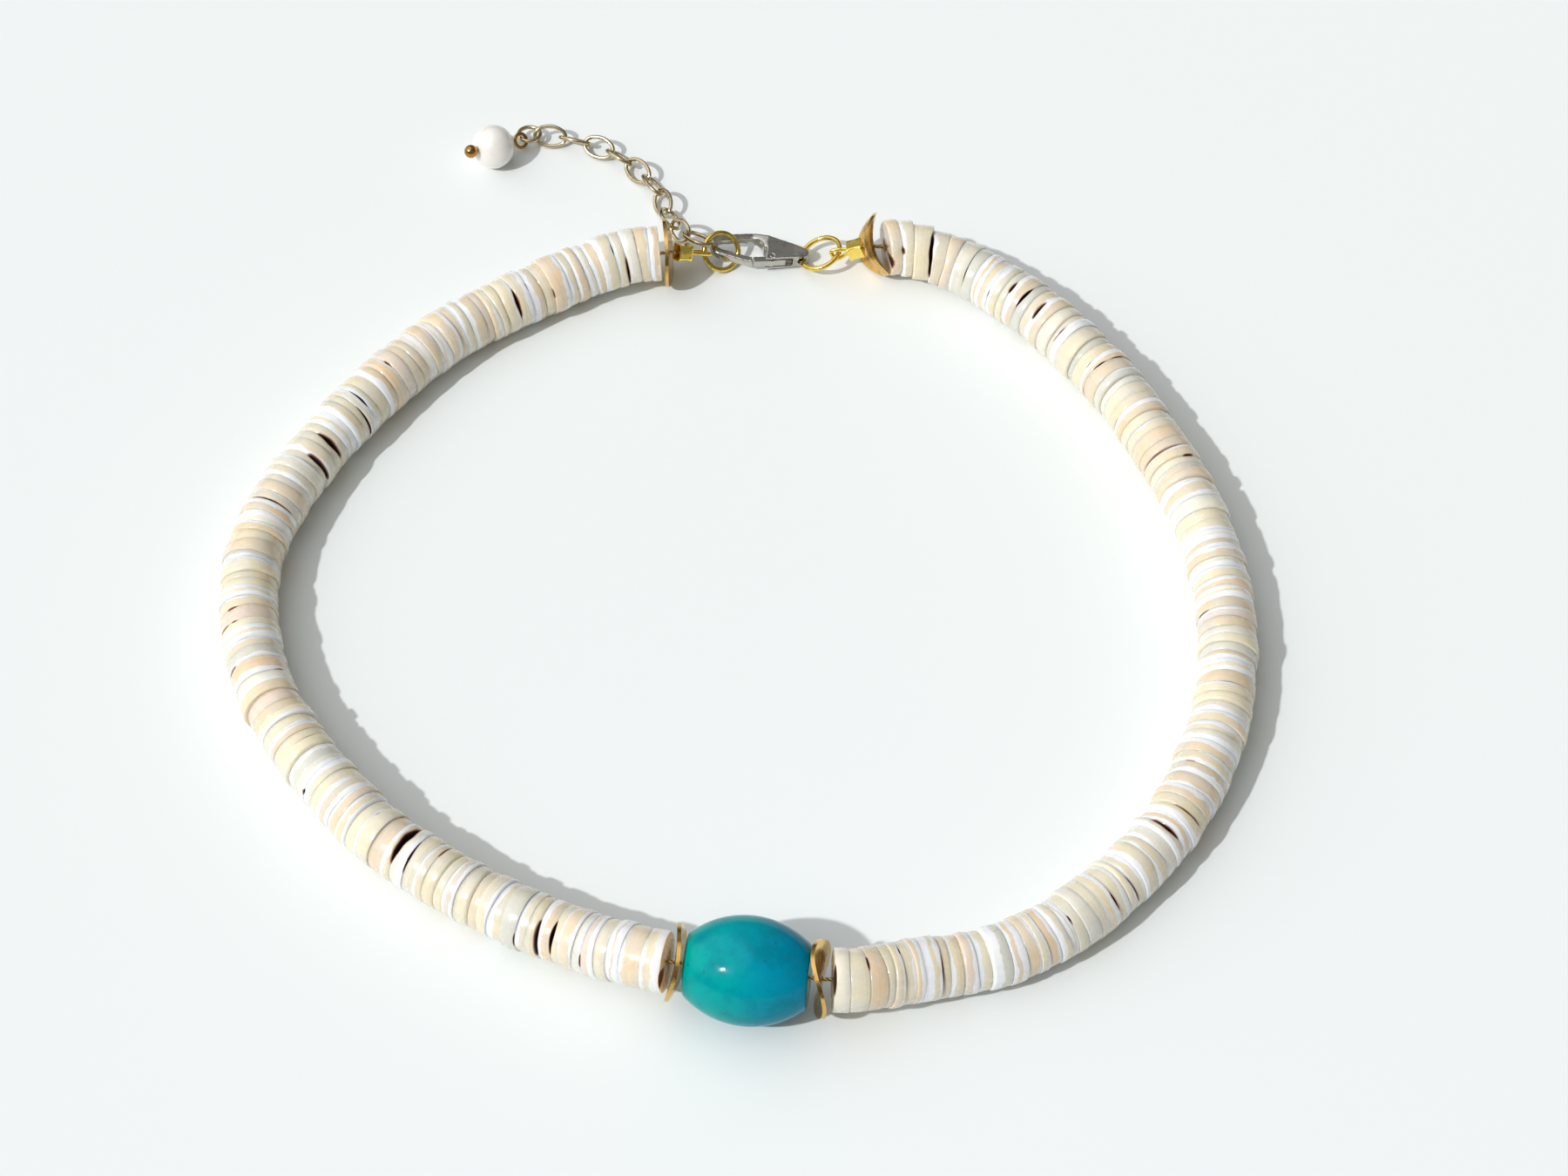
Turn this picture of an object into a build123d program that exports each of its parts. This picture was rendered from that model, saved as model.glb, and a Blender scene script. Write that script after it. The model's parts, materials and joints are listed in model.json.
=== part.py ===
"""A necklace of drilled shell discs with one blue stone barrel, lying closed on a table.

Millimetres, +Z up. The origin is the middle of the neck loop, on the table's surface. The stone is
at the front (-Y) and the clasp at the back (+Y). The strand is strung on a thread from a crimp on
the left of the clasp, round the front, to a crimp on its right.
"""

import math
import os
import random
from collections import namedtuple

from build123d import *

# Shell discs
DISC_RADIUS = 4.0
DISC_RADIUS_SPREAD = 0.15
DISC_BORE_RADIUS = 0.45
DISC_THINNEST = 0.8
DISC_USUAL = 1.3
DISC_THICKEST = 2.2
DISC_EDGE_ROUND = 0.2
DISC_OFF_CENTRE = 0.12
DISC_CLEARANCE = 0.14
DISC_REACH = DISC_RADIUS + 2 * DISC_RADIUS_SPREAD + DISC_OFF_CENTRE
DISC_SEED = 11

# The discs next to the right-hand end fan open, turned about the upright
FAN_TURN = 20.0
FAN_REACH = 20.0

# Thread through every bead
THREAD_RADIUS = 0.25

# Stone barrel
STONE_LENGTH = 15.5
STONE_RADIUS = 6.9
STONE_END_RADIUS = 3.9
STONE_EDGE_ROUND = 0.5
STONE_BORE_RADIUS = 0.6
STONE_X = 2.2
STONE_Y = -62.6
STONE_YAW = -7.5

# Wavy metal discs
SPACER_RADIUS = 5.0
SPACER_THICKNESS = 0.5
SPACER_WAVE = 1.0
SPACER_BORE_RADIUS = 0.5
SPACER_CLEARANCE = 0.27
STRAIGHT_PAST_SPACER = 3.2
LEFT_SPACER_FROM_NECK = 0.9
RIGHT_SPACER_FROM_NECK = 0.55

# Crimp tubes
CRIMP_LENGTH = 2.2
CRIMP_WIDTH = 2.2
CRIMP_HEIGHT = 2.6
CRIMP_CORNER = 0.45
CRIMP_PINCH_RADIUS = 2.2
CRIMP_PINCH_DEPTH = 0.3
LEFT_CRIMP_STANDOFF = 0.4
RIGHT_CRIMP_STANDOFF = 0.85
CRIMP_PLAY = 0.06
CRIMP_THREAD_PLAY = 0.1

# Wire guardians, the loops that carry the thread round the rings
GUARD_WIRE_RADIUS = 0.3
GUARD_WIDTH = 2.3
GUARD_LEG_SPACING = 0.75
LEFT_GUARD_PLAY = 0.14
RIGHT_GUARD_PLAY = 0.23
LEFT_GUARD_ROLL = 15.0
RIGHT_GUARD_ROLL = 4.0

# Jump rings
RING_WIRE_RADIUS = 0.375
LEFT_RING_RADIUS = 2.7
RIGHT_RING_RADIUS = 3.0
RING_CUT = 0.12
LINK_PLAY = 0.2
LEFT_RING_TILT = 46.8
LEFT_RING_HIGH_SIDE = 123.8
LEFT_RING_GUARD_SIDE = 70.7
LEFT_RING_CHAIN_SIDE = 37.0
LEFT_RING_CUT_SIDE = 120.0
RIGHT_RING_TILT = 22.0
RIGHT_RING_PLAY = 0.1
RIGHT_RING_GUARD_SIDE = -17.6
RIGHT_RING_CUT_SIDE = 100.0

# Lobster clasp, in its own frame: x from the hook to the tail, y away from the lever's side
CLASP_ARM = 1.05
CLASP_ARM_THICKNESS = 1.2
CLASP_BODY_THICKNESS = 2.5
CLASP_TAIL_THICKNESS = 2.1
HOOK_X = -5.1
HOOK_RADIUS = 2.0
WAIST_X = -1.0
WAIST_RADIUS = 2.85
TAIL_X = 6.55
TAIL_Y = -0.2
TAIL_RADIUS = 0.9
TAIL_BORE_RADIUS = 0.6
GATE_X = -0.75
GATE_LENGTH = 2.0
SLOT_DEPTH = 1.35
SLOT_END_X = 5.2
LEVER_END_X = 4.2
LEVER_THICKNESS = 1.2
LEVER_WIDTH = 1.0
LEVER_GAP = 0.12
LEVER_PLAY = 0.05
LEVER_OPENS = 25.0
NUB_RADIUS = 0.55
NUB_REACH = 0.3
PIVOT_X = 2.1
PIVOT_Y = -1.75
PIN_RADIUS = 0.35
PIN_PLAY = 0.02
PIN_PROUD = 0.08
CLASP_POINT = (2.9, 64.3, 1.85)
CLASP_YAW = -5.0
CLASP_PITCH = 4.5
LEFT_RING_FROM_HOOK = (-0.23, -1.2, 0.25)

# Extension chain, end ring, head pin and pearl
LINK_WIRE_RADIUS = 0.3
LINK_LENGTH = 5.3
LINK_WIDTH = 3.6
LINK_END_RADIUS = 1.15
LINK_LEANS = (27.4, -60.0, 35.0, -45.0, 45.0, -45.0, 45.0, -45.0, 45.0, -50.0)
END_RING_RADIUS = 1.65
END_RING_LEAN = 5.0
END_RING_PIN_SIDE = 59.0
PIN_WIRE_RADIUS = 0.25
PIN_LOOP_RADIUS = 1.05
PIN_LOOP_ROLL = -130.0
PIN_NECK = 1.0
PIN_YAW = 37.0
PIN_BALL_RADIUS = 1.0
PIN_REST = 0.03
PEARL_RADIUS = 3.3
PEARL_HALF_LENGTH = 3.1
PEARL_BORE_RADIUS = 0.32

# Where the thread leaves the end discs for the crimps
LEFT_NECK = (-9.3, 61.05, 5.1)
RIGHT_NECK = (18.95, 62.3, 5.1)

# Route of the strand: chosen points, left of the stone and then right of it. The height is the
# disc radius, raised by shares of what the stone and the metal discs add to it.
RoutePoint = namedtuple("RoutePoint", "x y stone_share spacer_share")
LEFT_ROUTE = [
    RoutePoint(-17.0, 60.2, 0.0, 0.85),
    RoutePoint(-27.0, 55.6, 0.0, 0.0),
    RoutePoint(-41.3, 46.4, 0.0, 0.0),
    RoutePoint(-51.6, 34.5, 0.0, 0.0),
    RoutePoint(-59.8, 21.7, 0.0, 0.0),
    RoutePoint(-65.6, 7.8, 0.0, 0.0),
    RoutePoint(-65.6, -6.0, 0.0, 0.0),
    RoutePoint(-61.5, -19.0, 0.0, 0.0),
    RoutePoint(-53.9, -30.8, 0.0, 0.0),
    RoutePoint(-44.8, -41.3, 0.0, 0.0),
    RoutePoint(-31.5, -50.6, 0.0, 0.0),
    RoutePoint(-18.8, -57.0, 0.3, 0.0),
]
RIGHT_ROUTE = [
    RoutePoint(24.0, -61.2, 0.3, 0.0),
    RoutePoint(33.5, -58.9, 0.0, 0.0),
    RoutePoint(42.0, -54.3, 0.0, 0.0),
    RoutePoint(50.0, -47.2, 0.0, 0.0),
    RoutePoint(58.2, -36.9, 0.0, 0.0),
    RoutePoint(64.3, -22.8, 0.0, 0.0),
    RoutePoint(66.6, -6.5, 0.0, 0.0),
    RoutePoint(64.9, 8.4, 0.0, 0.0),
    RoutePoint(60.0, 23.0, 0.0, 0.0),
    RoutePoint(52.7, 38.0, 0.0, 0.0),
    RoutePoint(42.4, 50.9, 0.0, 0.0),
    RoutePoint(33.0, 58.8, 0.0, 0.2),
    RoutePoint(25.5, 61.7, 0.0, 0.9),
]

# Route of the chain from the left jump ring to its end ring, with the height as a share of the
# height at which a link rests when it leans halfway
ChainPoint = namedtuple("ChainPoint", "x y rest_share")
CHAIN_ROUTE = [
    ChainPoint(-7.36, 65.75, 2.9),
    ChainPoint(-9.5, 68.5, 1.75),
    ChainPoint(-10.6, 72.4, 1.25),
    ChainPoint(-12.6, 78.2, 1.1),
    ChainPoint(-18.6, 84.8, 1.1),
    ChainPoint(-25.2, 87.8, 1.1),
    ChainPoint(-36.0, 89.4, 1.1),
]

# The metal discs: lean about the upright, lean about the level, turn and height of the wave
Spacer = namedtuple("Spacer", "yaw pitch turn wave_share")
SPACERS = {
    "end_left": Spacer(-6.0, 2.0, 52.0, -0.25),
    "stone_left": Spacer(-3.0, 3.0, -52.0, 0.5),
    "stone_right": Spacer(4.0, -3.0, -97.0, -0.8),
    "end_right": Spacer(16.0, 0.0, 52.0, 1.6),
}

ROUTE_BEND_SHARE = 0.45
CLOSE_ENOUGH = 1e-6


def unit(yaw, pitch=0.0):
    """Direction at an angle about the upright and an angle above the level, in degrees."""
    flat = math.cos(math.radians(pitch))
    yaw = math.radians(yaw)
    return Vector(flat * math.cos(yaw), flat * math.sin(yaw), math.sin(math.radians(pitch)))


def smooth_path(points, short_bends=()):
    """Straight runs joined by tangent arcs, each as large as its two runs allow.

    The points named as short bends keep their runs straight up to the bend's own short reach.
    """
    points = [Vector(p) for p in points]
    chosen = []
    for i in range(1, len(points) - 1):
        before = points[i] - points[i - 1]
        after = points[i + 1] - points[i]
        half_turn = math.radians(before.get_angle(after)) / 2
        reach = ROUTE_BEND_SHARE * min(before.length, after.length)
        if i in short_bends:
            reach = min(reach, STRAIGHT_PAST_SPACER - SPACER_THICKNESS)
        chosen.append(reach / math.tan(half_turn))
    path = FilletPolyline(*points, radius=chosen)
    return Wire(path.edges()), chosen


def frame_at(wire, distance):
    """Frame on a path: z along it, x level and to its left, y nearly upright."""
    along = wire.tangent_at(distance, position_mode=PositionMode.LENGTH)
    place = wire.position_at(distance, position_mode=PositionMode.LENGTH)
    level = Vector(0, 0, 1).cross(along).normalized()
    return Plane(origin=place, x_dir=level, z_dir=along)


def tube(path, radius):
    """Round wire along a path."""
    start = Plane(origin=path.position_at(0), z_dir=path.tangent_at(0))
    return sweep(start * Circle(radius), path=path)


# The clasp and its rings


def clasp_place():
    """Where the clasp's own frame lies."""
    return Pos(*CLASP_POINT) * Rot(0, 0, CLASP_YAW) * Rot(0, CLASP_PITCH, 0)


def hull_of(circles):
    """Outline round a few circles, given as x, y and radius."""
    edges = [e for x, y, r in circles for e in (Pos(x, y) * Circle(r)).edges()]
    return make_hull(ShapeList(edges))


def clasp_outline(inset=0.0):
    """Outline of the closed clasp from above, or a line inside it."""
    return hull_of(
        [
            (HOOK_X, 0, HOOK_RADIUS - inset),
            (WAIST_X, 0, WAIST_RADIUS - inset),
            (TAIL_X, TAIL_Y, max(TAIL_RADIUS - inset, TAIL_RADIUS / 4)),
        ]
    )


def slab(from_x, to_x, half_height):
    """Upright slab across the clasp, used to keep a stretch of it."""
    reach = 2 * WAIST_RADIUS
    return Pos((from_x + to_x) / 2, 0) * Box(to_x - from_x, 2 * reach, 2 * half_height)


def lever_side(inset, from_x, to_x, half_height):
    """Band of the clasp along the lever's side, as deep as the inset."""
    band = extrude(clasp_outline() - clasp_outline(inset), half_height, both=True)
    lower = Pos(0, -WAIST_RADIUS / 2 - inset / 2) * Box(40, WAIST_RADIUS, 4 * half_height)
    return band & lower & slab(from_x, to_x, half_height)


def make_clasp_body():
    """Hook, eye, cheeks and drilled tail in one casting."""
    eye = hull_of(
        [
            (HOOK_X, 0, HOOK_RADIUS - CLASP_ARM),
            (WAIST_X, 0, WAIST_RADIUS - CLASP_ARM),
        ]
    )
    gate_end = GATE_X + GATE_LENGTH
    gate = Pos(PIVOT_X, PIVOT_Y) * Circle(PIVOT_X - GATE_X)
    gate &= Pos(gate_end - WAIST_RADIUS, -WAIST_RADIUS) * Rectangle(2 * WAIST_RADIUS, 2 * WAIST_RADIUS)
    plan = extrude(clasp_outline() - eye - gate, CLASP_BODY_THICKNESS, both=True)
    arm = CLASP_ARM_THICKNESS / 2
    body = CLASP_BODY_THICKNESS / 2
    tail = CLASP_TAIL_THICKNESS / 2
    half = [
        (HOOK_X - 2 * HOOK_RADIUS, arm),
        (WAIST_X, arm),
        (gate_end, body),
        (SLOT_END_X, body),
        (TAIL_X + 2 * TAIL_RADIUS, tail),
    ]
    side = Polyline(*half, *[(x, -z) for x, z in reversed(half)], close=True)
    profile = extrude(make_face(Plane.XZ * side), 2 * WAIST_RADIUS, both=True)
    solid = plan & profile
    half_slot = LEVER_THICKNESS / 2 + LEVER_GAP
    solid -= lever_side(SLOT_DEPTH, gate_end - CLOSE_ENOUGH, SLOT_END_X, half_slot)
    solid -= Pos(PIVOT_X, PIVOT_Y) * Cylinder(LEVER_WIDTH + LEVER_GAP, 2 * half_slot)
    solid -= Pos(gate_end, PIVOT_Y) * Box(LEVER_WIDTH, 2 * LEVER_WIDTH, 2 * half_slot)
    solid -= Pos(PIVOT_X, PIVOT_Y) * Cylinder(PIN_RADIUS + PIN_PLAY, 2 * CLASP_BODY_THICKNESS)
    solid -= Pos(TAIL_X, TAIL_Y) * Rot(90, 0, 0) * Cylinder(TAIL_BORE_RADIUS, 4 * TAIL_RADIUS)
    return solid


def make_clasp_lever():
    """Finger that closes the hook, its drilled hub, its tail and its thumb nub."""
    half = LEVER_THICKNESS / 2
    bar = lever_side(LEVER_WIDTH, GATE_X - LEVER_WIDTH, LEVER_END_X, half)
    hub = Pos(PIVOT_X, PIVOT_Y) * Cylinder(LEVER_WIDTH * 0.75, LEVER_THICKNESS)
    outer = extrude(clasp_outline(), half, both=True)
    lever = bar + (hub & outer)
    nub_y = -(WAIST_RADIUS - NUB_RADIUS) + (PIVOT_X - WAIST_X) * 0.27 - NUB_REACH
    lever += Pos(PIVOT_X, nub_y) * Cylinder(NUB_RADIUS, LEVER_THICKNESS)
    lever &= Pos(PIVOT_X, PIVOT_Y) * Cylinder(PIVOT_X - GATE_X - LEVER_GAP, LEVER_THICKNESS)
    return lever - Pos(PIVOT_X, PIVOT_Y) * Cylinder(PIN_RADIUS + LEVER_PLAY, 4 * half)


def make_clasp_pin():
    """Rivet that the lever turns on."""
    length = CLASP_BODY_THICKNESS + 2 * PIN_PROUD
    pin = Pos(PIVOT_X, PIVOT_Y) * Cylinder(PIN_RADIUS, length)
    return fillet(pin.edges().filter_by(GeomType.CIRCLE), PIN_PROUD)


def ring_frame(centre, outward, across):
    """Frame of a ring: x towards outward, z square to the ring."""
    return Plane(origin=centre, x_dir=outward, z_dir=outward.cross(across))


def left_ring_frame():
    """The left ring hangs in the clasp's eye, round the bend of the hook."""
    x, y, z = LEFT_RING_FROM_HOOK
    centre = (clasp_place() * Pos(HOOK_X + x, y, z)).position
    high = unit(LEFT_RING_HIGH_SIDE, LEFT_RING_TILT)
    return ring_frame(centre, high, unit(LEFT_RING_HIGH_SIDE + 90))


def right_ring_frame():
    """The right ring runs through the clasp's drilled tail and rises to its crimp."""
    tail = clasp_place() * Pos(TAIL_X, TAIL_Y, 0)
    outward = unit(CLASP_YAW, RIGHT_RING_TILT)
    centre = tail.position + outward * (RIGHT_RING_RADIUS - RIGHT_RING_PLAY)
    return ring_frame(centre, outward, unit(CLASP_YAW + 90))


def on_ring(frame, radius, degrees):
    """Place and direction of a ring's wire at an angle round it."""
    turn = math.radians(degrees)
    place = frame.from_local_coords(Vector(radius * math.cos(turn), radius * math.sin(turn), 0))
    ahead = frame.from_local_coords(
        Vector(
            radius * math.cos(turn) - math.sin(turn),
            radius * math.sin(turn) + math.cos(turn),
            0,
        )
    )
    return place, (ahead - place).normalized()


def make_ring(frame, radius, wire_radius, cut_side, cut=0.0):
    """Jump ring with the saw cut where its two ends meet."""
    ring = Torus(radius, wire_radius)
    if cut > 0:
        turn = math.radians(cut_side)
        blade = Box(4 * wire_radius, cut, 4 * wire_radius)
        ring -= Pos(radius * math.cos(turn), radius * math.sin(turn)) * Rot(0, 0, cut_side) * blade
    return frame.location * ring


# Crimps and guardians


def hardware_line(neck, seat, wire_direction, roll):
    """Frame of a crimp and its guardian: x from the strand to the ring, z square to the loop."""
    neck = Vector(neck)
    line = (seat - neck).normalized()
    across = line.cross(wire_direction).normalized()
    return Plane(origin=neck, x_dir=line, z_dir=line.cross(across).rotate(Axis(neck, line), roll))


def guard_path(length, standoff):
    """Middle line of a guardian: two legs that open into a round loop."""
    start = standoff + CRIMP_LENGTH * 0.6
    leg = GUARD_LEG_SPACING / 2
    wide = GUARD_WIDTH / 2 - GUARD_WIRE_RADIUS
    tip = length - GUARD_WIRE_RADIUS
    mouth = standoff + CRIMP_LENGTH + GUARD_WIRE_RADIUS
    points = [
        (start, leg),
        (mouth, leg),
        (tip - wide * 1.15, wide),
        (tip, wide),
        (tip, -wide),
        (tip - wide * 1.15, -wide),
        (mouth, -leg),
        (start, -leg),
    ]
    return smooth_path([(x, y, 0) for x, y in points])[0]


def make_guard(frame, length, standoff):
    """Wire guardian round a jump ring."""
    return frame.location * tube(guard_path(length, standoff), GUARD_WIRE_RADIUS)


def make_crimp(frame, standoff):
    """Pressed crimp tube, open at one end for the thread and at the other for the guardian."""
    middle = standoff + CRIMP_LENGTH / 2
    block = Box(CRIMP_LENGTH, CRIMP_WIDTH, CRIMP_HEIGHT)
    block = fillet(block.edges().filter_by(Axis.X), CRIMP_CORNER)
    pinch_at = CRIMP_HEIGHT / 2 - CRIMP_PINCH_DEPTH + CRIMP_PINCH_RADIUS
    for side in (-1, 1):
        groove = Pos(0, 0, side * pinch_at) * Rot(90, 0, 0)
        block -= groove * Cylinder(CRIMP_PINCH_RADIUS, 2 * CRIMP_WIDTH)
    block -= Rot(0, 90, 0) * Cylinder(THREAD_RADIUS + CRIMP_THREAD_PLAY, 2 * CRIMP_LENGTH)
    wide = GUARD_LEG_SPACING + 2 * (GUARD_WIRE_RADIUS + CRIMP_PLAY)
    deep = 2 * (GUARD_WIRE_RADIUS + CRIMP_PLAY)
    block -= Pos(CRIMP_LENGTH / 4, 0, 0) * Box(CRIMP_LENGTH / 2 + 2 * CLOSE_ENOUGH, wide, deep)
    return frame.location * (Pos(middle, 0, 0) * block)


# The strand


def stone_place():
    """Where the stone's own frame lies: z along its bore, from left to right."""
    along = unit(STONE_YAW)
    level = Vector(0, 0, 1).cross(along).normalized()
    return Plane(origin=(STONE_X, STONE_Y, STONE_RADIUS), x_dir=level, z_dir=along)


def wave_depth(spacer, radius):
    """How far a metal disc's wave stands out at a radius."""
    return abs(spacer.wave_share) * SPACER_WAVE * (radius / SPACER_RADIUS) ** 2


def lean_depth(spacer, radius):
    """How far a metal disc's lean moves its face at a radius."""
    lean = math.hypot(spacer.yaw, spacer.pitch)
    return radius * math.sin(math.radians(lean))


def stone_to_spacer(spacer):
    """From the stone's middle to a metal disc's middle."""
    near = wave_depth(spacer, STONE_END_RADIUS) + lean_depth(spacer, STONE_END_RADIUS)
    return STONE_LENGTH / 2 + SPACER_CLEARANCE + SPACER_THICKNESS / 2 + near


def route_height(point):
    """Height of the thread at a point of the route."""
    over_stone = point.stone_share * (STONE_RADIUS - DISC_RADIUS)
    return DISC_RADIUS + over_stone + point.spacer_share * (SPACER_RADIUS - DISC_RADIUS)


def strand_points(left_line, right_line):
    """Corners of the thread's route, from inside the left crimp to inside the right one."""
    left_inside = LEFT_CRIMP_STANDOFF + CRIMP_LENGTH / 2
    right_inside = RIGHT_CRIMP_STANDOFF + CRIMP_LENGTH / 2
    stone = stone_place()
    left_reach = stone_to_spacer(SPACERS["stone_left"]) + STRAIGHT_PAST_SPACER
    right_reach = stone_to_spacer(SPACERS["stone_right"]) + STRAIGHT_PAST_SPACER
    points = [left_line.from_local_coords(Vector(left_inside, 0, 0)), Vector(LEFT_NECK)]
    points += [Vector(p.x, p.y, route_height(p)) for p in LEFT_ROUTE]
    beside_stone = (len(points), len(points) + 1)
    points += [stone.origin - stone.z_dir * left_reach, stone.origin + stone.z_dir * right_reach]
    points += [Vector(p.x, p.y, route_height(p)) for p in RIGHT_ROUTE]
    points += [Vector(RIGHT_NECK), right_line.from_local_coords(Vector(right_inside, 0, 0))]
    return points, beside_stone


def distance_along(wire, place):
    """How far along a path the point nearest to a place is."""
    return wire.param_at_point(wire.closest_points(place)[0]) * wire.length


def disc_lean(from_right_end):
    """How far a disc is turned about the upright, near the right-hand end."""
    if from_right_end > FAN_REACH:
        return 0.0
    return FAN_TURN * (1 - from_right_end / FAN_REACH)


def disc_frame(wire, at, fan_from):
    """Frame of a disc on the thread, with the fan at the right-hand end."""
    frame = frame_at(wire, at)
    lean = disc_lean(fan_from - at)
    if lean == 0.0:
        return frame
    upright = Axis(frame.origin, (0, 0, 1))
    return Plane(
        origin=frame.origin,
        x_dir=frame.x_dir.rotate(Axis((0, 0, 0), (0, 0, 1)), lean),
        z_dir=frame.z_dir.rotate(Axis((0, 0, 0), (0, 0, 1)), lean),
    )


Disc = namedtuple("Disc", "frame thickness radius aside above")


def disc_sizes(chooser):
    """Thickness, radius and off-centre of one disc."""
    thickness = chooser.triangular(DISC_THINNEST, DISC_THICKEST, DISC_USUAL)
    radius = DISC_RADIUS + chooser.uniform(-1, 1) * DISC_RADIUS_SPREAD
    aside = chooser.uniform(-1, 1) * DISC_OFF_CENTRE
    above = radius - DISC_RADIUS + chooser.uniform(0, 0.5) * DISC_OFF_CENTRE
    return thickness, radius, aside, above


def lay_discs(wire, start, end, fan_from, seed, spare=0.0):
    """Discs laid side by side on the thread, with a named clearance at their nearest edges."""
    chooser = random.Random(seed)
    reach = DISC_REACH
    discs = []
    edge = start
    last = frame_at(wire, start)
    while True:
        thickness, radius, aside, above = disc_sizes(chooser)
        at = edge + thickness / 2
        for _ in range(3 if discs else 0):
            guess = disc_frame(wire, min(at, end), fan_from)
            wedge = reach * math.sin(math.radians(last.z_dir.get_angle(guess.z_dir)))
            at = edge + thickness / 2 + DISC_CLEARANCE + spare + wedge
        if at + thickness / 2 > end:
            return discs, end - edge
        last = disc_frame(wire, at, fan_from)
        discs.append(Disc(last, thickness, radius, aside, above))
        edge = at + thickness / 2


def fill_stretch(wire, start, end, fan_from, seed):
    """Discs that fill a stretch of the thread, with the last bit of room shared out."""
    discs, room = lay_discs(wire, start, end, fan_from, seed)
    count = len(discs)
    share = 1.0
    laid = []
    while len(laid) < count:
        laid = lay_discs(wire, start, end, fan_from, seed, share * room / count)[0]
        share -= 0.02
    return laid[:count]


def make_disc(disc, thread_direction):
    """One drilled shell disc."""
    round_off = min(DISC_EDGE_ROUND, disc.thickness / 3)
    body = Cylinder(disc.radius, disc.thickness)
    body = fillet(body.edges().filter_by(GeomType.CIRCLE), round_off)
    body = disc.frame.location * (Pos(disc.aside, disc.above) * body)
    bore = Plane(origin=disc.frame.origin, z_dir=thread_direction)
    return body - bore.location * Cylinder(DISC_BORE_RADIUS, 3 * disc.thickness)


def make_string(wire, discs):
    """All discs of one side as one group of loose solids."""
    solids = []
    for disc in discs:
        at = distance_along(wire, disc.frame.origin)
        along = wire.tangent_at(at, position_mode=PositionMode.LENGTH)
        solids += make_disc(disc, along).solids()
    return Compound(solids)


def make_stone():
    """Drilled barrel stone, bulging in one arc from end to end."""
    half = STONE_LENGTH / 2
    bulge = ThreePointArc((STONE_END_RADIUS, half), (STONE_RADIUS, 0), (STONE_END_RADIUS, -half))
    outline = [
        bulge,
        Line((STONE_END_RADIUS, -half), (0, -half)),
        Line((0, -half), (0, half)),
        Line((0, half), (STONE_END_RADIUS, half)),
    ]
    barrel = revolve(make_face(Plane.XZ * Wire(outline)), Axis.Z)
    ends = [e for e in barrel.edges() if abs(abs(e.center().Z) - half) < CLOSE_ENOUGH * 10]
    barrel = fillet(ShapeList(ends).filter_by(GeomType.CIRCLE), STONE_EDGE_ROUND)
    barrel -= Cylinder(STONE_BORE_RADIUS, 2 * STONE_LENGTH)
    return stone_place().location * barrel


def make_spacer(frame, spacer):
    """Thin metal disc bent into a wave, up on one diameter and down on the other.

    The bend draws its rim in, as it does on a flat disc of the full radius.
    """
    reach = SPACER_RADIUS * 1.2
    rise = spacer.wave_share * SPACER_WAVE * (reach / SPACER_RADIUS) ** 2
    grid = [
        [(x, y, bend_x - bend_y) for y, bend_y in zip((-reach, 0, reach), (rise, -rise, rise))]
        for x, bend_x in zip((-reach, 0, reach), (rise, -rise, rise))
    ]
    sheet = Pos(0, 0, -SPACER_THICKNESS / 2) * Face.make_bezier_surface(grid)
    slope = 2 * spacer.wave_share * SPACER_WAVE / SPACER_RADIUS
    drawn_in = SPACER_RADIUS * (1 - slope**2 / 6)
    disc = Solid.extrude(sheet, Vector(0, 0, SPACER_THICKNESS)) & Cylinder(drawn_in, reach * 2)
    disc = Rot(0, 0, spacer.turn) * disc
    disc = Rot(spacer.pitch, spacer.yaw, 0) * disc
    return frame.location * (disc - Cylinder(SPACER_BORE_RADIUS, reach * 2))


# The chain, its end ring, the pin and the pearl


def make_link():
    """Oval chain link of four arcs, long along x."""
    across = LINK_WIDTH / 2 - LINK_WIRE_RADIUS
    along = LINK_LENGTH / 2 - LINK_WIRE_RADIUS
    end_from = along - LINK_END_RADIUS
    turn = math.pi / 2 - 2 * math.atan((across - LINK_END_RADIUS) / end_from)
    corner_x = end_from + LINK_END_RADIUS * math.cos(turn)
    corner_y = LINK_END_RADIUS * math.sin(turn)
    oval = Wire(
        [
            ThreePointArc((-corner_x, -corner_y), (0, -across), (corner_x, -corner_y)),
            ThreePointArc((corner_x, -corner_y), (along, 0), (corner_x, corner_y)),
            ThreePointArc((corner_x, corner_y), (0, across), (-corner_x, corner_y)),
            ThreePointArc((-corner_x, corner_y), (-along, 0), (-corner_x, -corner_y)),
        ]
    )
    return tube(oval, LINK_WIRE_RADIUS)


def chain_rest_height():
    """Height of a link's middle when it lies on the table leaning halfway."""
    lean = math.radians(45)
    return (LINK_WIDTH / 2 - LINK_WIRE_RADIUS) * math.sin(lean) + LINK_WIRE_RADIUS


def leaning_frame(route, at, lean):
    """Frame of a link on the chain's route: x along it, y across it, leaning by an angle."""
    frame = frame_at(route, at)
    across = frame.x_dir.rotate(Axis((0, 0, 0), frame.z_dir), lean)
    return Plane(origin=frame.origin, x_dir=frame.z_dir, z_dir=frame.z_dir.cross(across))


def pin_place(end_frame):
    """Frame of the pearl and its pin: z from the ball to the loop that holds the end ring."""
    inner_ring = END_RING_RADIUS - LINK_WIRE_RADIUS
    inner_loop = PIN_LOOP_RADIUS - PIN_WIRE_RADIUS
    loop = on_ring(end_frame, inner_ring + inner_loop - LINK_PLAY, END_RING_PIN_SIDE)[0]
    reach = PEARL_HALF_LENGTH + PIN_NECK + PIN_LOOP_RADIUS
    drop = math.asin((PEARL_RADIUS - loop.Z) / reach)
    along = unit(PIN_YAW, -math.degrees(drop))
    across = Vector(0, 0, 1).cross(along).rotate(Axis((0, 0, 0), along), PIN_LOOP_ROLL)
    return Plane(origin=loop - along * reach, x_dir=across, z_dir=along)


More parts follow.
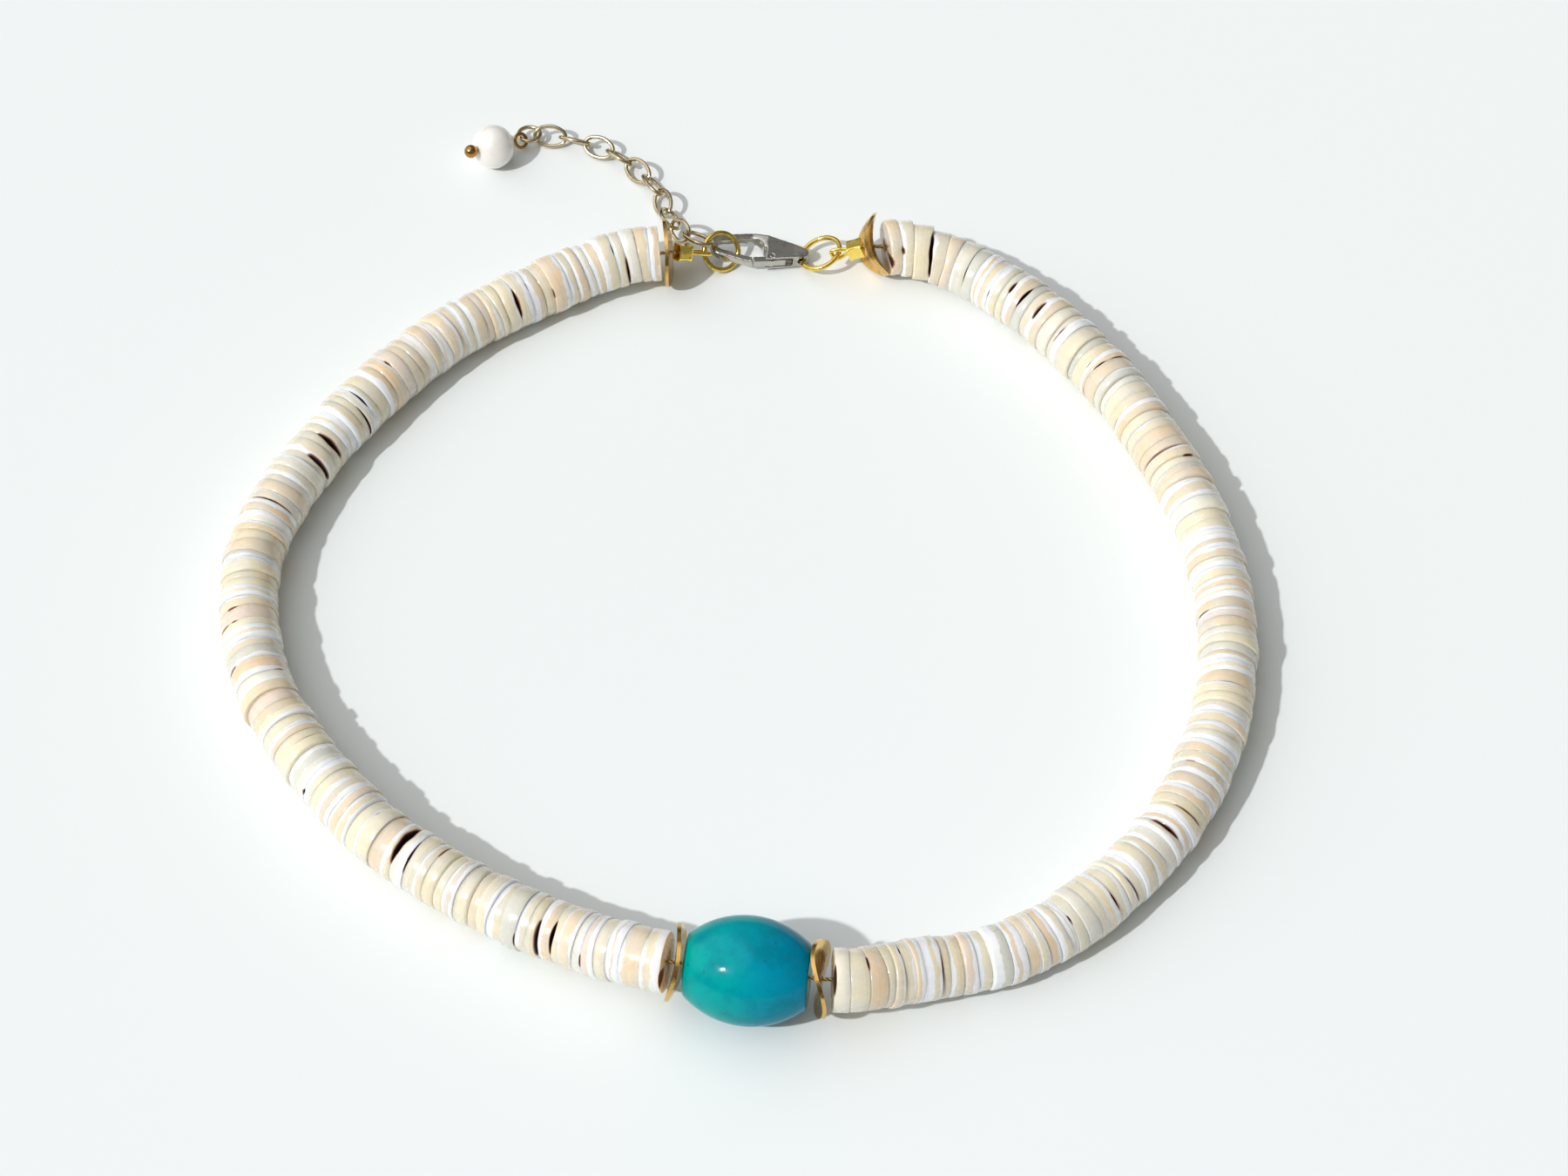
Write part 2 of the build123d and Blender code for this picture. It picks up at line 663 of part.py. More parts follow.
def make_pearl():
    """Off-round drilled pearl, its bore along z."""
    wide, half = PEARL_RADIUS, PEARL_HALF_LENGTH
    turns = [math.radians(angle) for angle in range(-75, 90, 15)]
    bulge = [(wide * math.cos(turn), half * math.sin(turn)) for turn in turns]
    outline = [
        Spline((0, -half), *bulge, (0, half), tangents=((1, 0), (-1, 0))),
        Line((0, half), (0, -half)),
    ]
    pearl = revolve(make_face(Plane.XZ * Wire(outline)), Axis.Z)
    return pearl - Cylinder(PEARL_BORE_RADIUS, 4 * half)


def make_head_pin():
    """Ball-headed pin along z, with a turned loop past the pearl."""
    foot = -PEARL_HALF_LENGTH - PIN_BALL_RADIUS - PIN_REST
    neck = PEARL_HALF_LENGTH + PIN_NECK
    shank = Pos(0, 0, (foot + neck) / 2) * Cylinder(PIN_WIRE_RADIUS, neck - foot)
    loop = Pos(0, 0, neck + PIN_LOOP_RADIUS) * Rot(90, 0, 0)
    pin = shank + Pos(0, 0, foot) * Sphere(PIN_BALL_RADIUS)
    return pin + loop * Torus(PIN_LOOP_RADIUS, PIN_WIRE_RADIUS)


def save(name, shape):
    """Writes one named piece."""
    solids = shape.solids()
    export_step(Compound(solids) if len(solids) > 1 else solids[0], f"parts/{name}.step")


def main():
    os.makedirs("parts", exist_ok=True)

    place = clasp_place()
    save("clasp_body", place * make_clasp_body())
    save("clasp_lever", place * make_clasp_lever())
    save("clasp_pin", place * make_clasp_pin())

    left_ring = left_ring_frame()
    right_ring = right_ring_frame()
    save(
        "jump_ring_left",
        make_ring(left_ring, LEFT_RING_RADIUS, RING_WIRE_RADIUS, LEFT_RING_CUT_SIDE, RING_CUT),
    )
    save(
        "jump_ring_right",
        make_ring(right_ring, RIGHT_RING_RADIUS, RING_WIRE_RADIUS, RIGHT_RING_CUT_SIDE, RING_CUT),
    )

    lines = {}
    left_seat = on_ring(left_ring, LEFT_RING_RADIUS, LEFT_RING_GUARD_SIDE)
    right_seat = on_ring(right_ring, RIGHT_RING_RADIUS, RIGHT_RING_GUARD_SIDE)
    for side, neck, seat, roll, play, standoff in (
        ("left", LEFT_NECK, left_seat, LEFT_GUARD_ROLL, LEFT_GUARD_PLAY, LEFT_CRIMP_STANDOFF),
        ("right", RIGHT_NECK, right_seat, RIGHT_GUARD_ROLL, RIGHT_GUARD_PLAY, RIGHT_CRIMP_STANDOFF),
    ):
        place, wire_direction = seat
        line = hardware_line(neck, place, wire_direction, roll)
        length = (place - Vector(neck)).length + RING_WIRE_RADIUS + play + 2 * GUARD_WIRE_RADIUS
        lines[side] = line
        save(f"crimp_{side}", make_crimp(line, standoff))
        save(f"wire_guard_{side}", make_guard(line, length, standoff))

    route = smooth_path(*strand_points(lines["left"], lines["right"]))[0]
    save("beading_wire", tube(route, THREAD_RADIUS))

    stone = stone_place()
    save("stone_barrel", make_stone())
    spacer_at = {
        "end_left": distance_along(route, Vector(LEFT_NECK)) + LEFT_SPACER_FROM_NECK,
        "stone_left": distance_along(
            route, stone.origin - stone.z_dir * stone_to_spacer(SPACERS["stone_left"])
        ),
        "stone_right": distance_along(
            route, stone.origin + stone.z_dir * stone_to_spacer(SPACERS["stone_right"])
        ),
        "end_right": distance_along(route, Vector(RIGHT_NECK)) - RIGHT_SPACER_FROM_NECK,
    }
    for name, at in spacer_at.items():
        save(f"wavy_disc_{name}", make_spacer(frame_at(route, at), SPACERS[name]))

    beside = {}
    for name, spacer in SPACERS.items():
        stands = wave_depth(spacer, DISC_REACH) + SPACER_THICKNESS / 2 + SPACER_CLEARANCE
        beside[name] = stands + lean_depth(spacer, DISC_REACH)
        if name == "end_right":
            slip = math.radians(abs(disc_lean(stands + DISC_USUAL / 2) - spacer.yaw))
            beside[name] = stands + DISC_REACH * math.sin(slip) + SPACER_CLEARANCE / 2
    left_start = spacer_at["end_left"] + beside["end_left"]
    left_end = spacer_at["stone_left"] - beside["stone_left"]
    right_start = spacer_at["stone_right"] + beside["stone_right"]
    right_end = spacer_at["end_right"] - beside["end_right"]
    strings = {"left": (left_start, left_end), "right": (right_start, right_end)}
    for offset, (side, (start, end)) in enumerate(strings.items()):
        discs = fill_stretch(route, start, end, spacer_at["end_right"], DISC_SEED + offset)
        save(f"shell_string_{side}", make_string(route, discs))

    seat = on_ring(left_ring, LEFT_RING_RADIUS, LEFT_RING_CHAIN_SIDE)[0]
    rest = chain_rest_height()
    count = len(LINK_LEANS)
    corners = [seat] + [Vector(p.x, p.y, p.rest_share * rest) for p in CHAIN_ROUTE]
    chain_route = smooth_path(corners)[0]
    inner = LINK_LENGTH / 2 - 2 * LINK_WIRE_RADIUS
    first = inner - RING_WIRE_RADIUS - LINK_PLAY
    pitch = 2 * inner - LINK_PLAY
    ring_inner = END_RING_RADIUS - LINK_WIRE_RADIUS
    last_step = inner + ring_inner - LINK_PLAY
    link = make_link()
    for i, lean in enumerate(LINK_LEANS):
        frame = leaning_frame(chain_route, first + i * pitch, lean)
        save(f"chain_link_{i + 1:02d}", frame.location * link)
    end_at = first + (count - 1) * pitch + last_step
    end_frame = leaning_frame(chain_route, end_at, END_RING_LEAN)
    save("chain_end_ring", end_frame.location * Torus(END_RING_RADIUS, LINK_WIRE_RADIUS))

    pin = pin_place(end_frame)
    save("pearl", pin.location * make_pearl())
    save("head_pin", pin.location * make_head_pin())


if __name__ == "__main__":
    main()
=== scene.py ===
"""A shell disc necklace with a turquoise barrel stone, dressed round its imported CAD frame.

Lengths in the classes are in millimetres; everything handed to Blender is in metres.
"""

import json
import logging
import math
import random
from dataclasses import dataclass, field
from enum import Enum
from typing import Sequence

import bpy
import numpy as np
from mathutils import Euler, Matrix, Vector

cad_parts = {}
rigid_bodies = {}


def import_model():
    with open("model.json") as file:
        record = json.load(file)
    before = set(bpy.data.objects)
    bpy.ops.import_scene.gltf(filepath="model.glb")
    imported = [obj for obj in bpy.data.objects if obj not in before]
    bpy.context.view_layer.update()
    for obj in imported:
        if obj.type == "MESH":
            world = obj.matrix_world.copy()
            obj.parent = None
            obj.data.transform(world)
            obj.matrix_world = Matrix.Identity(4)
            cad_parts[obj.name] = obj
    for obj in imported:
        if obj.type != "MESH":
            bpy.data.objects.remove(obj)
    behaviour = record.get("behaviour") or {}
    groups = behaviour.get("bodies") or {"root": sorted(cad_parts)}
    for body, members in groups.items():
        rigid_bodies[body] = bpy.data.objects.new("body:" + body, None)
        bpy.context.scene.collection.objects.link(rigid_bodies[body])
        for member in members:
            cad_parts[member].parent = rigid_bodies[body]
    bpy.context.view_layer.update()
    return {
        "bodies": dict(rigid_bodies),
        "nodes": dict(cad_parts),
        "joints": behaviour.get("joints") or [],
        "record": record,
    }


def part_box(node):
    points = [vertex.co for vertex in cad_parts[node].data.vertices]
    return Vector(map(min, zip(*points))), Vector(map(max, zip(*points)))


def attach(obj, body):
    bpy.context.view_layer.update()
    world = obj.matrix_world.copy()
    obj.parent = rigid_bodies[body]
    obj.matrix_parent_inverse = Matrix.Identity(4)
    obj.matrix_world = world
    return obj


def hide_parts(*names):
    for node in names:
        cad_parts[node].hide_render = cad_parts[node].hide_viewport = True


LOG = logging.getLogger("necklace")
MM = 0.001
FULL_TURN = 2 * math.pi
Colour = tuple[float, float, float]
Socket = bpy.types.NodeSocket

# Space between nodes in the editor.
COLUMN_WIDTH = 180
# The Mix node repeats its sockets' names for each kind of data, so the colour's go by number.
MIX_SHARE, MIX_FIRST, MIX_SECOND, MIX_RESULT = 0, 6, 7, 2


def linear(red: int, green: int, blue: int) -> Colour:
    """Turns a colour of 0 to 255 a channel into linear light."""
    shares = (channel / 255.0 for channel in (red, green, blue))
    return tuple(s / 12.92 if s <= 0.04045 else ((s + 0.055) / 1.055) ** 2.4 for s in shares)


def unit(vector: np.ndarray) -> np.ndarray:
    """Gives a vector the length 1."""
    return vector / np.linalg.norm(vector)


# ---------------------------------------------------------------- shader tools


class Graph:
    """A node tree with short calls for adding and joining nodes."""

    def __init__(self, tree: bpy.types.NodeTree) -> None:
        """Takes the tree that the calls work on."""
        self.tree = tree
        self.columns = 0

    def node(self, kind: str, **settings: object) -> bpy.types.Node:
        """Adds a node.

        Args:
            kind: Blender's name of the node type.
            **settings: Properties to set on it.

        Returns:
            The new node.
        """
        made = self.tree.nodes.new(kind)
        made.location = (COLUMN_WIDTH * self.columns, 0)
        self.columns += 1
        for name, value in settings.items():
            setattr(made, name, value)
        return made

    def join(self, source: Socket, target: Socket) -> None:
        """Links one socket to another."""
        self.tree.links.new(source, target)

    def feed(self, target: Socket, value: object) -> None:
        """Links a socket to a target, or sets a plain value on it.

        Args:
            target: Input socket.
            value: Output socket, number, colour or vector.
        """
        if isinstance(value, bpy.types.NodeSocket):
            self.join(value, target)
        elif isinstance(value, (tuple, list)) and len(value) == 3 and target.type == "RGBA":
            target.default_value = (*value, 1.0)
        else:
            target.default_value = value

    def math(
        self, operation: str, first: object, second: object = 0.0, clamp: bool = False
    ) -> Socket:
        """Adds a Math node.

        Args:
            operation: Blender's name of the operation.
            first: First value.
            second: Second value.
            clamp: Whether the result is kept between 0 and 1.

        Returns:
            The result's socket.
        """
        made = self.node("ShaderNodeMath", operation=operation, use_clamp=clamp)
        self.feed(made.inputs[0], first)
        self.feed(made.inputs[1], second)
        return made.outputs[0]

    def span(
        self, value: object, low: object, high: object, to_low: float = 0.0, to_high: float = 1.0
    ) -> Socket:
        """Maps a span smoothly to another.

        Args:
            value: The value to map.
            low: Start of its span.
            high: End of its span.
            to_low: Result at the start.
            to_high: Result at the end.

        Returns:
            The result's socket.
        """
        made = self.node("ShaderNodeMapRange", interpolation_type="SMOOTHSTEP")
        for name, part in (("Value", value), ("From Min", low), ("From Max", high)):
            self.feed(made.inputs[name], part)
        made.inputs["To Min"].default_value = to_low
        made.inputs["To Max"].default_value = to_high
        return made.outputs["Result"]

    def blend(self, share: object, first: object, second: object, kind: str = "MIX") -> Socket:
        """Mixes two colours.

        Args:
            share: How much of the second.
            first: First colour.
            second: Second colour.
            kind: Blend type.

        Returns:
            The mixed colour's socket.
        """
        made = self.node("ShaderNodeMix", data_type="RGBA", blend_type=kind)
        self.feed(made.inputs[MIX_SHARE], share)
        self.feed(made.inputs[MIX_FIRST], first)
        self.feed(made.inputs[MIX_SECOND], second)
        return made.outputs[MIX_RESULT]

    def weighed(self, *parts: tuple[Socket, float]) -> Socket:
        """Adds two values, each times its share."""
        first, second = (self.math("MULTIPLY", value, share) for value, share in parts)
        return self.math("ADD", first, second)

    def noise(
        self, place: object, scale: float, detail: float = 3.0, rough: float = 0.5
    ) -> Socket:
        """Adds a noise texture.

        Args:
            place: Where it is read.
            scale: Cells per metre.
            detail: Number of finer layers.
            rough: Strength of the finer layers.

        Returns:
            The socket of its value from 0 to 1.
        """
        made = self.node("ShaderNodeTexNoise")
        self.feed(made.inputs["Vector"], place)
        made.inputs["Scale"].default_value = scale
        made.inputs["Detail"].default_value = detail
        made.inputs["Roughness"].default_value = rough
        return made.outputs["Fac"]

    def drift(self, place: object, scale: float, detail: float, reach: float) -> Socket:
        """Adds noise that swings about zero, over the span of reach."""
        centred = self.math("SUBTRACT", self.noise(place, scale, detail), 0.5)
        return self.math("MULTIPLY", centred, reach)

    def bump(self, height: object, strength: float, depth: float) -> Socket:
        """Adds a bump.

        Args:
            height: Height from 0 to 1.
            strength: Share of the bump that shows.
            depth: Depth in millimetres.

        Returns:
            The normal's socket.
        """
        made = self.node("ShaderNodeBump")
        made.inputs["Strength"].default_value = strength
        made.inputs["Distance"].default_value = depth * MM
        self.feed(made.inputs["Height"], height)
        return made.outputs["Normal"]

    def place(self) -> Socket:
        """Gives the place on the piece, in metres."""
        return self.node("ShaderNodeTexCoord").outputs["Object"]

    def attribute(self, name: str, output: str = "Fac") -> Socket:
        """Reads a value that the mesh carries, through the named output."""
        return self.node("ShaderNodeAttribute", attribute_name=name).outputs[output]

    def placed(self, group: bpy.types.NodeTree, **values: object) -> bpy.types.Node:
        """Places a shared effect.

        Args:
            group: The node group.
            **values: Values of its inputs, with _ for a blank.

        Returns:
            The group's node.
        """
        made = self.node("ShaderNodeGroup")
        made.node_tree = group
        for name, value in values.items():
            self.feed(made.inputs[name.replace("_", " ")], value)
        return made


def new_group(
    name: str, inputs: dict[str, float | Sequence[float]], outputs: dict[str, type]
) -> tuple[bpy.types.NodeTree, Graph, bpy.types.Node, bpy.types.Node]:
    """Starts a shared effect.

    Args:
        name: The group's name.
        inputs: Name and usual value of each input.
        outputs: Name and kind of each output: tuple for a colour, float for a value.

    Returns:
        The group, its graph, its input node and its output node.
    """
    tree = bpy.data.node_groups.new(name, "ShaderNodeTree")
    kinds = {float: "NodeSocketFloat", tuple: "NodeSocketColor"}
    for label, value in inputs.items():
        kind = kinds[type(value)]
        made = tree.interface.new_socket(name=label, in_out="INPUT", socket_type=kind)
        made.default_value = value
    for label, kept in outputs.items():
        tree.interface.new_socket(name=label, in_out="OUTPUT", socket_type=kinds[kept])
    graph = Graph(tree)
    return tree, graph, graph.node("NodeGroupInput"), graph.node("NodeGroupOutput")


class Effects:
    """Shared effects, each built once."""

    def __init__(self) -> None:
        """Builds the groups."""
        self.mottle = self._mottle()
        self.polish = self._polish()

    @staticmethod
    def _mottle() -> bpy.types.NodeTree:
        """Uneven colour: broad clouds of a second colour and fine specks of a third.

        Returns:
            The node group.
        """
        tree, graph, given, made = new_group(
            "mottle",
            {
                "Main": (1, 1, 1, 1),
                "Cloud": (1, 1, 1, 1),
                "Speck": (0, 0, 0, 1),
                "Cloud Scale": 200.0,
                "Cloud Amount": 0.5,
                "Speck Scale": 2000.0,
                "Speck Amount": 0.1,
            },
            {"Color": tuple, "Speck Mask": float},
        )
        place = graph.place()
        masks = []
        grains = (("Cloud", 4.0, 0.6, 0.38, 0.68), ("Speck", 5.0, 0.7, 0.62, 0.74))
        for name, detail, rough, low, high in grains:
            grain = graph.noise(place, 1.0, detail, rough)
            graph.join(given.outputs[name + " Scale"], grain.node.inputs["Scale"])
            shown = graph.span(grain, low, high)
            masks.append(graph.math("MULTIPLY", shown, given.outputs[name + " Amount"], True))
        cloud, speck = masks
        clouded = graph.blend(cloud, given.outputs["Main"], given.outputs["Cloud"])
        specked = graph.blend(speck, clouded, given.outputs["Speck"])
        graph.join(specked, made.inputs["Color"])
        graph.join(speck, made.inputs["Speck Mask"])
        return tree

    @staticmethod
    def _polish() -> bpy.types.NodeTree:
        """Handled metal: dull smears, hair scratches and slight dents.

        Returns:
            The node group.
        """
        tree, graph, given, made = new_group(
            "handled_polish",
            {"Smooth": 0.12, "Dull": 0.35, "Tarnish": 0.3},
            {"Roughness": float, "Tarnish Mask": float, "Height": float},
        )
        place = graph.place()
        smear = graph.span(graph.noise(place, 900.0, 3.0, 0.6), 0.42, 0.7)
        reach = graph.math("SUBTRACT", given.outputs["Dull"], given.outputs["Smooth"])
        rough = graph.math("ADD", given.outputs["Smooth"], graph.math("MULTIPLY", smear, reach))
        stretch = graph.node("ShaderNodeMapping", vector_type="POINT")
        graph.join(place, stretch.inputs["Vector"])
        stretch.inputs["Scale"].default_value = (1.0, 0.12, 1.0)
        stretch.inputs["Rotation"].default_value = (0.3, 0.2, 0.9)
        hair = graph.noise(stretch.outputs["Vector"], 9000.0, 2.0, 0.6)
        dents = graph.noise(place, 1500.0, 2.0, 0.5)
        height = graph.weighed((hair, 0.25), (dents, 0.75))
        tarnish = graph.span(graph.noise(place, 420.0, 4.0, 0.65), 0.45, 0.75)
        shown = graph.math("MULTIPLY", tarnish, given.outputs["Tarnish"], True)
        graph.join(rough, made.inputs["Roughness"])
        graph.join(shown, made.inputs["Tarnish Mask"])
        graph.join(height, made.inputs["Height"])
        return tree


def new_material(name: str) -> tuple[bpy.types.Material, Graph, bpy.types.Node]:
    """Starts a material with a Principled shader.

    Args:
        name: The material's name.

    Returns:
        The material, its graph and its shader.
    """
    material = bpy.data.materials.new(name)
    material.use_nodes = True
    tree = material.node_tree
    tree.nodes.clear()
    graph = Graph(tree)
    shader = graph.node("ShaderNodeBsdfPrincipled")
    out = graph.node("ShaderNodeOutputMaterial")
    graph.join(shader.outputs["BSDF"], out.inputs["Surface"])
    return material, graph, shader


def set_sockets(node: bpy.types.Node, **values: object) -> None:
    """Sets plain values on a node's own sockets, with _ for a blank in their names."""
    for name, value in values.items():
        node.inputs[name.replace("_", " ")].default_value = value


def feed_surface(
    graph: Graph, shader: bpy.types.Node, colour: Socket, rough: Socket, normal: Socket
) -> None:
    """Feeds a shader what changes over the surface."""
    for name, source in (("Base Color", colour), ("Roughness", rough), ("Normal", normal)):
        graph.join(source, shader.inputs[name])


# ---------------------------------------------------------------- finishes


@dataclass(frozen=True)
class MetalFinish:
    """A plated or cast metal."""

    name: str
    colour: Colour
    tarnish: Colour
    smooth: float = 0.12
    dull: float = 0.32
    tarnish_amount: float = 0.35
    dent_depth: float = 0.02

    def material(self, effects: Effects) -> bpy.types.Material:
        """Builds the material.

        Args:
            effects: The shared effects.

        Returns:
            The material.
        """
        material, graph, shader = new_material(self.name)
        worn = graph.placed(
            effects.polish, Smooth=self.smooth, Dull=self.dull, Tarnish=self.tarnish_amount
        )
        colour = graph.blend(worn.outputs["Tarnish Mask"], self.colour, self.tarnish)
        dents = graph.bump(worn.outputs["Height"], 0.5, self.dent_depth)
        feed_surface(graph, shader, colour, worn.outputs["Roughness"], dents)
        set_sockets(shader, Metallic=1.0)
        return material


@dataclass(frozen=True)
class ShellFinish:
    """Polished shell in layers, with painted shade in the gaps between discs, brownish to near
    black.
    """

    name: str = "polished_shell"
    white: Colour = linear(250, 251, 253)
    # Painted shade in the gaps between discs: near black deep in a gap, brownish towards its edges.
    deep_gap_shade: Colour = linear(38, 14, 22)
    edge_gap_shade: Colour = linear(150, 96, 58)
    grey: Colour = linear(214, 216, 212)
    speck: Colour = linear(206, 178, 140)
    growth_line: Colour = linear(226, 203, 168)
    layer_edge: float = 0.05
    lines_across: float = 7.0
    lines_apart: float = 53.0

    def material(self, effects: Effects) -> bpy.types.Material:
        """Builds the material.

        Args:
            effects: The shared effects.

        Returns:
            The material.
        """
        material, graph, shader = new_material(self.name)
        place = graph.place()
        layer = graph.attribute("layer")
        seed = graph.attribute("seed")
        tone = graph.attribute("tone", "Color")
        gap_shade = graph.attribute("gap_shade")
        wander = graph.drift(place, 260.0, 2.0, 0.7)
        fray = graph.drift(place, 1600.0, 3.0, 0.16)
        depth = graph.math("ADD", layer, graph.math("ADD", wander, fray))
        whites = []
        for name, inside, outside in (("white_to", 1.0, 0.0), ("white_from", 0.0, 1.0)):
            limit = graph.attribute(name)
            start = graph.math("SUBTRACT", limit, self.layer_edge)
            end = graph.math("ADD", limit, self.layer_edge)
            whites.append(graph.span(depth, start, end, inside, outside))
        white = graph.math("MAXIMUM", *whites)
        patch = graph.placed(
            effects.mottle,
            Main=tone,
            Cloud=self.grey,
            Speck=self.speck,
            Cloud_Scale=210.0,
            Cloud_Amount=0.5,
            Speck_Scale=1500.0,
            Speck_Amount=0.25,
        )
        lines = graph.node("ShaderNodeCombineXYZ")
        graph.join(graph.math("MULTIPLY", layer, self.lines_across), lines.inputs["X"])
        graph.join(graph.math("MULTIPLY", seed, self.lines_apart), lines.inputs["Y"])
        grown = graph.noise(lines.outputs["Vector"], 1.0, 3.0, 0.6)
        coloured = graph.blend(white, patch.outputs["Color"], self.white)
        faint = graph.span(grown, 0.5, 0.72, 0.0, 0.30)
        lined = graph.blend(faint, coloured, self.growth_line, "MULTIPLY")
        # Painted shade: the gaps between discs are darkened, brownish where the shade is weak and
        # near black where it is strong.
        gap_shaded = graph.blend(graph.span(gap_shade, 0.05, 0.45), lined, self.edge_gap_shade)
        deep = graph.blend(graph.span(gap_shade, 0.35, 0.75), gap_shaded, self.deep_gap_shade)
        ripple = graph.noise(place, 1100.0, 3.0, 0.55)
        gloss = graph.span(ripple, 0.35, 0.7, 0.16, 0.34)
        rough = graph.math("ADD", gloss, graph.math("MULTIPLY", gap_shade, 0.4), True)
        height = graph.weighed((grown, 0.5), (ripple, 0.5))
        feed_surface(graph, shader, deep, rough, graph.bump(height, 0.6, 0.05))
        set_sockets(
            shader,
            IOR=1.53,
            Coat_Weight=0.35,
            Coat_Roughness=0.08,
            Subsurface_Weight=0.55,
            Subsurface_Radius=(1.0, 0.8, 0.65),
            Subsurface_Scale=1.6 * MM,
        )
        return material


@dataclass(frozen=True)
class StoneFinish:
    """Polished turquoise-blue stone, greener at its left end and bluer at its right."""

    name: str = "polished_blue_stone"
    green_end: Colour = linear(0, 158, 148)
    blue_end: Colour = linear(0, 140, 178)
    cloud: Colour = linear(0, 124, 140)
    pit: Colour = linear(6, 58, 72)

    def material(self, effects: Effects, left: float, right: float) -> bpy.types.Material:
        """Builds the material.

        Args:
            effects: The shared effects.
            left: X of the stone's left end, in metres.
            right: X of its right end, in metres.

        Returns:
            The material.
        """
        material, graph, shader = new_material(self.name)
        place = graph.place()
        split = graph.node("ShaderNodeSeparateXYZ")
        graph.join(place, split.inputs["Vector"])
        wander = graph.drift(place, 180.0, 3.0, 0.012)
        along = graph.span(graph.math("ADD", split.outputs["X"], wander), left, right)
        body = graph.blend(along, self.green_end, self.blue_end)
        mottled = graph.placed(
            effects.mottle,
            Main=body,
            Cloud=self.cloud,
            Speck=self.pit,
            Cloud_Scale=260.0,
            Cloud_Amount=0.75,
            Speck_Scale=1100.0,
            Speck_Amount=0.8,
        )
        smear = graph.noise(place, 700.0, 3.0)
        rough = graph.span(smear, 0.35, 0.7, 0.1, 0.2)
        low = graph.math("SUBTRACT", 1.0, mottled.outputs["Speck Mask"])
        pits = graph.bump(graph.weighed((low, 0.7), (smear, 0.3)), 0.35, 0.06)
        feed_surface(graph, shader, mottled.outputs["Color"], rough, pits)
        set_sockets(shader, IOR=1.2, Coat_Weight=0.0)
        return material


@dataclass(frozen=True)
class PearlFinish:
    """Creamy nacre."""

    name: str = "creamy_nacre"
    body: Colour = linear(242, 238, 232)
    cloud: Colour = linear(228, 220, 212)
    blush: Colour = linear(222, 224, 234)

    def material(self, effects: Effects) -> bpy.types.Material:
        """Builds the material.

        Args:
            effects: The shared effects.

        Returns:
            The material.
        """
        material, graph, shader = new_material(self.name)
        mottled = graph.placed(
            effects.mottle,
            Main=self.body,
            Cloud=self.cloud,
            Speck=self.blush,
            Cloud_Scale=260.0,
            Cloud_Amount=0.6,
            Speck_Scale=800.0,
            Speck_Amount=0.5,
        )
        place = graph.place()
        gloss = graph.span(graph.noise(place, 500.0), 0.3, 0.7, 0.18, 0.28)
        skin = graph.bump(graph.noise(place, 700.0, 3.0), 0.4, 0.04)
        feed_surface(graph, shader, mottled.outputs["Color"], gloss, skin)
        set_sockets(
            shader,
            Coat_Weight=1.0,
            Coat_Roughness=0.2,
            Subsurface_Weight=0.3,
            Subsurface_Radius=(1.0, 0.8, 0.6),
            Subsurface_Scale=0.8 * MM,
        )
        return material


@dataclass(frozen=True)
class ThreadFinish:
    """Twisted beading wire under a clear skin."""

    name: str = "beading_wire"
    pale: Colour = linear(214, 190, 128)
    dark: Colour = linear(120, 92, 48)

    def material(self) -> bpy.types.Material:
        """Builds the material.

        Returns:
            The material.
        """
        material, graph, shader = new_material(self.name)
        place = graph.place()
        twist = graph.node("ShaderNodeTexWave", wave_type="BANDS", bands_direction="DIAGONAL")
        graph.join(place, twist.inputs["Vector"])
        set_sockets(twist, Scale=900.0, Distortion=0.6)
        strand = twist.outputs["Fac"]
        colour = graph.blend(strand, self.dark, self.pale)
        gloss = graph.span(strand, 0.0, 1.0, 0.4, 0.22)
        feed_surface(graph, shader, colour, gloss, graph.bump(strand, 0.6, 0.04))
        set_sockets(shader, Metallic=0.85)
        return material


GOLD_PLATE = MetalFinish(
    "gold_plate", linear(255, 228, 116), linear(218, 170, 52), 0.1, 0.24, 0.4
)
OLD_GOLD_PLATE = MetalFinish(
    "old_gold_plate", linear(236, 204, 104), linear(112, 94, 36), 0.12, 0.3, 0.6
)
WAVY_GOLD = MetalFinish(
    "wavy_disc_gold", linear(226, 184, 104), linear(118, 92, 36), 0.14, 0.34, 0.7
)
CLASP_SILVER = MetalFinish(
    "clasp_silver", linear(198, 194, 186), linear(104, 104, 102), 0.06, 0.18, 0.6
)
CHAIN_PLATE = MetalFinish(
    "chain_champagne_plate", linear(208, 192, 158), linear(112, 94, 66), 0.12, 0.28, 0.7
)
PIN_PLATE = MetalFinish(
    "pin_dark_gold", linear(180, 134, 72), linear(92, 60, 30), 0.12, 0.32, 0.5
)


def shared_material(
    finish: MetalFinish | ShellFinish, effects: Effects
) -> bpy.types.Material:
    """Finds a finish's material, or builds it the first time."""
    return bpy.data.materials.get(finish.name) or finish.material(effects)


# ---------------------------------------------------------------- mesh tools


def mesh_object(name: str, points: np.ndarray, faces: Sequence[Sequence[int]]) -> bpy.types.Object:
    """Makes a smooth mesh object.

    Args:
        name: The piece's name.
        points: Points in millimetres.
        faces: Corner numbers of each face.

    Returns:
        The new object.
    """
    mesh = bpy.data.meshes.new(name)
    mesh.from_pydata((points * MM).tolist(), [], [list(map(int, face)) for face in faces])
    mesh.validate()
    mesh.shade_smooth()
    made = bpy.data.objects.new(name, mesh)
    bpy.context.scene.collection.objects.link(made)
    return made


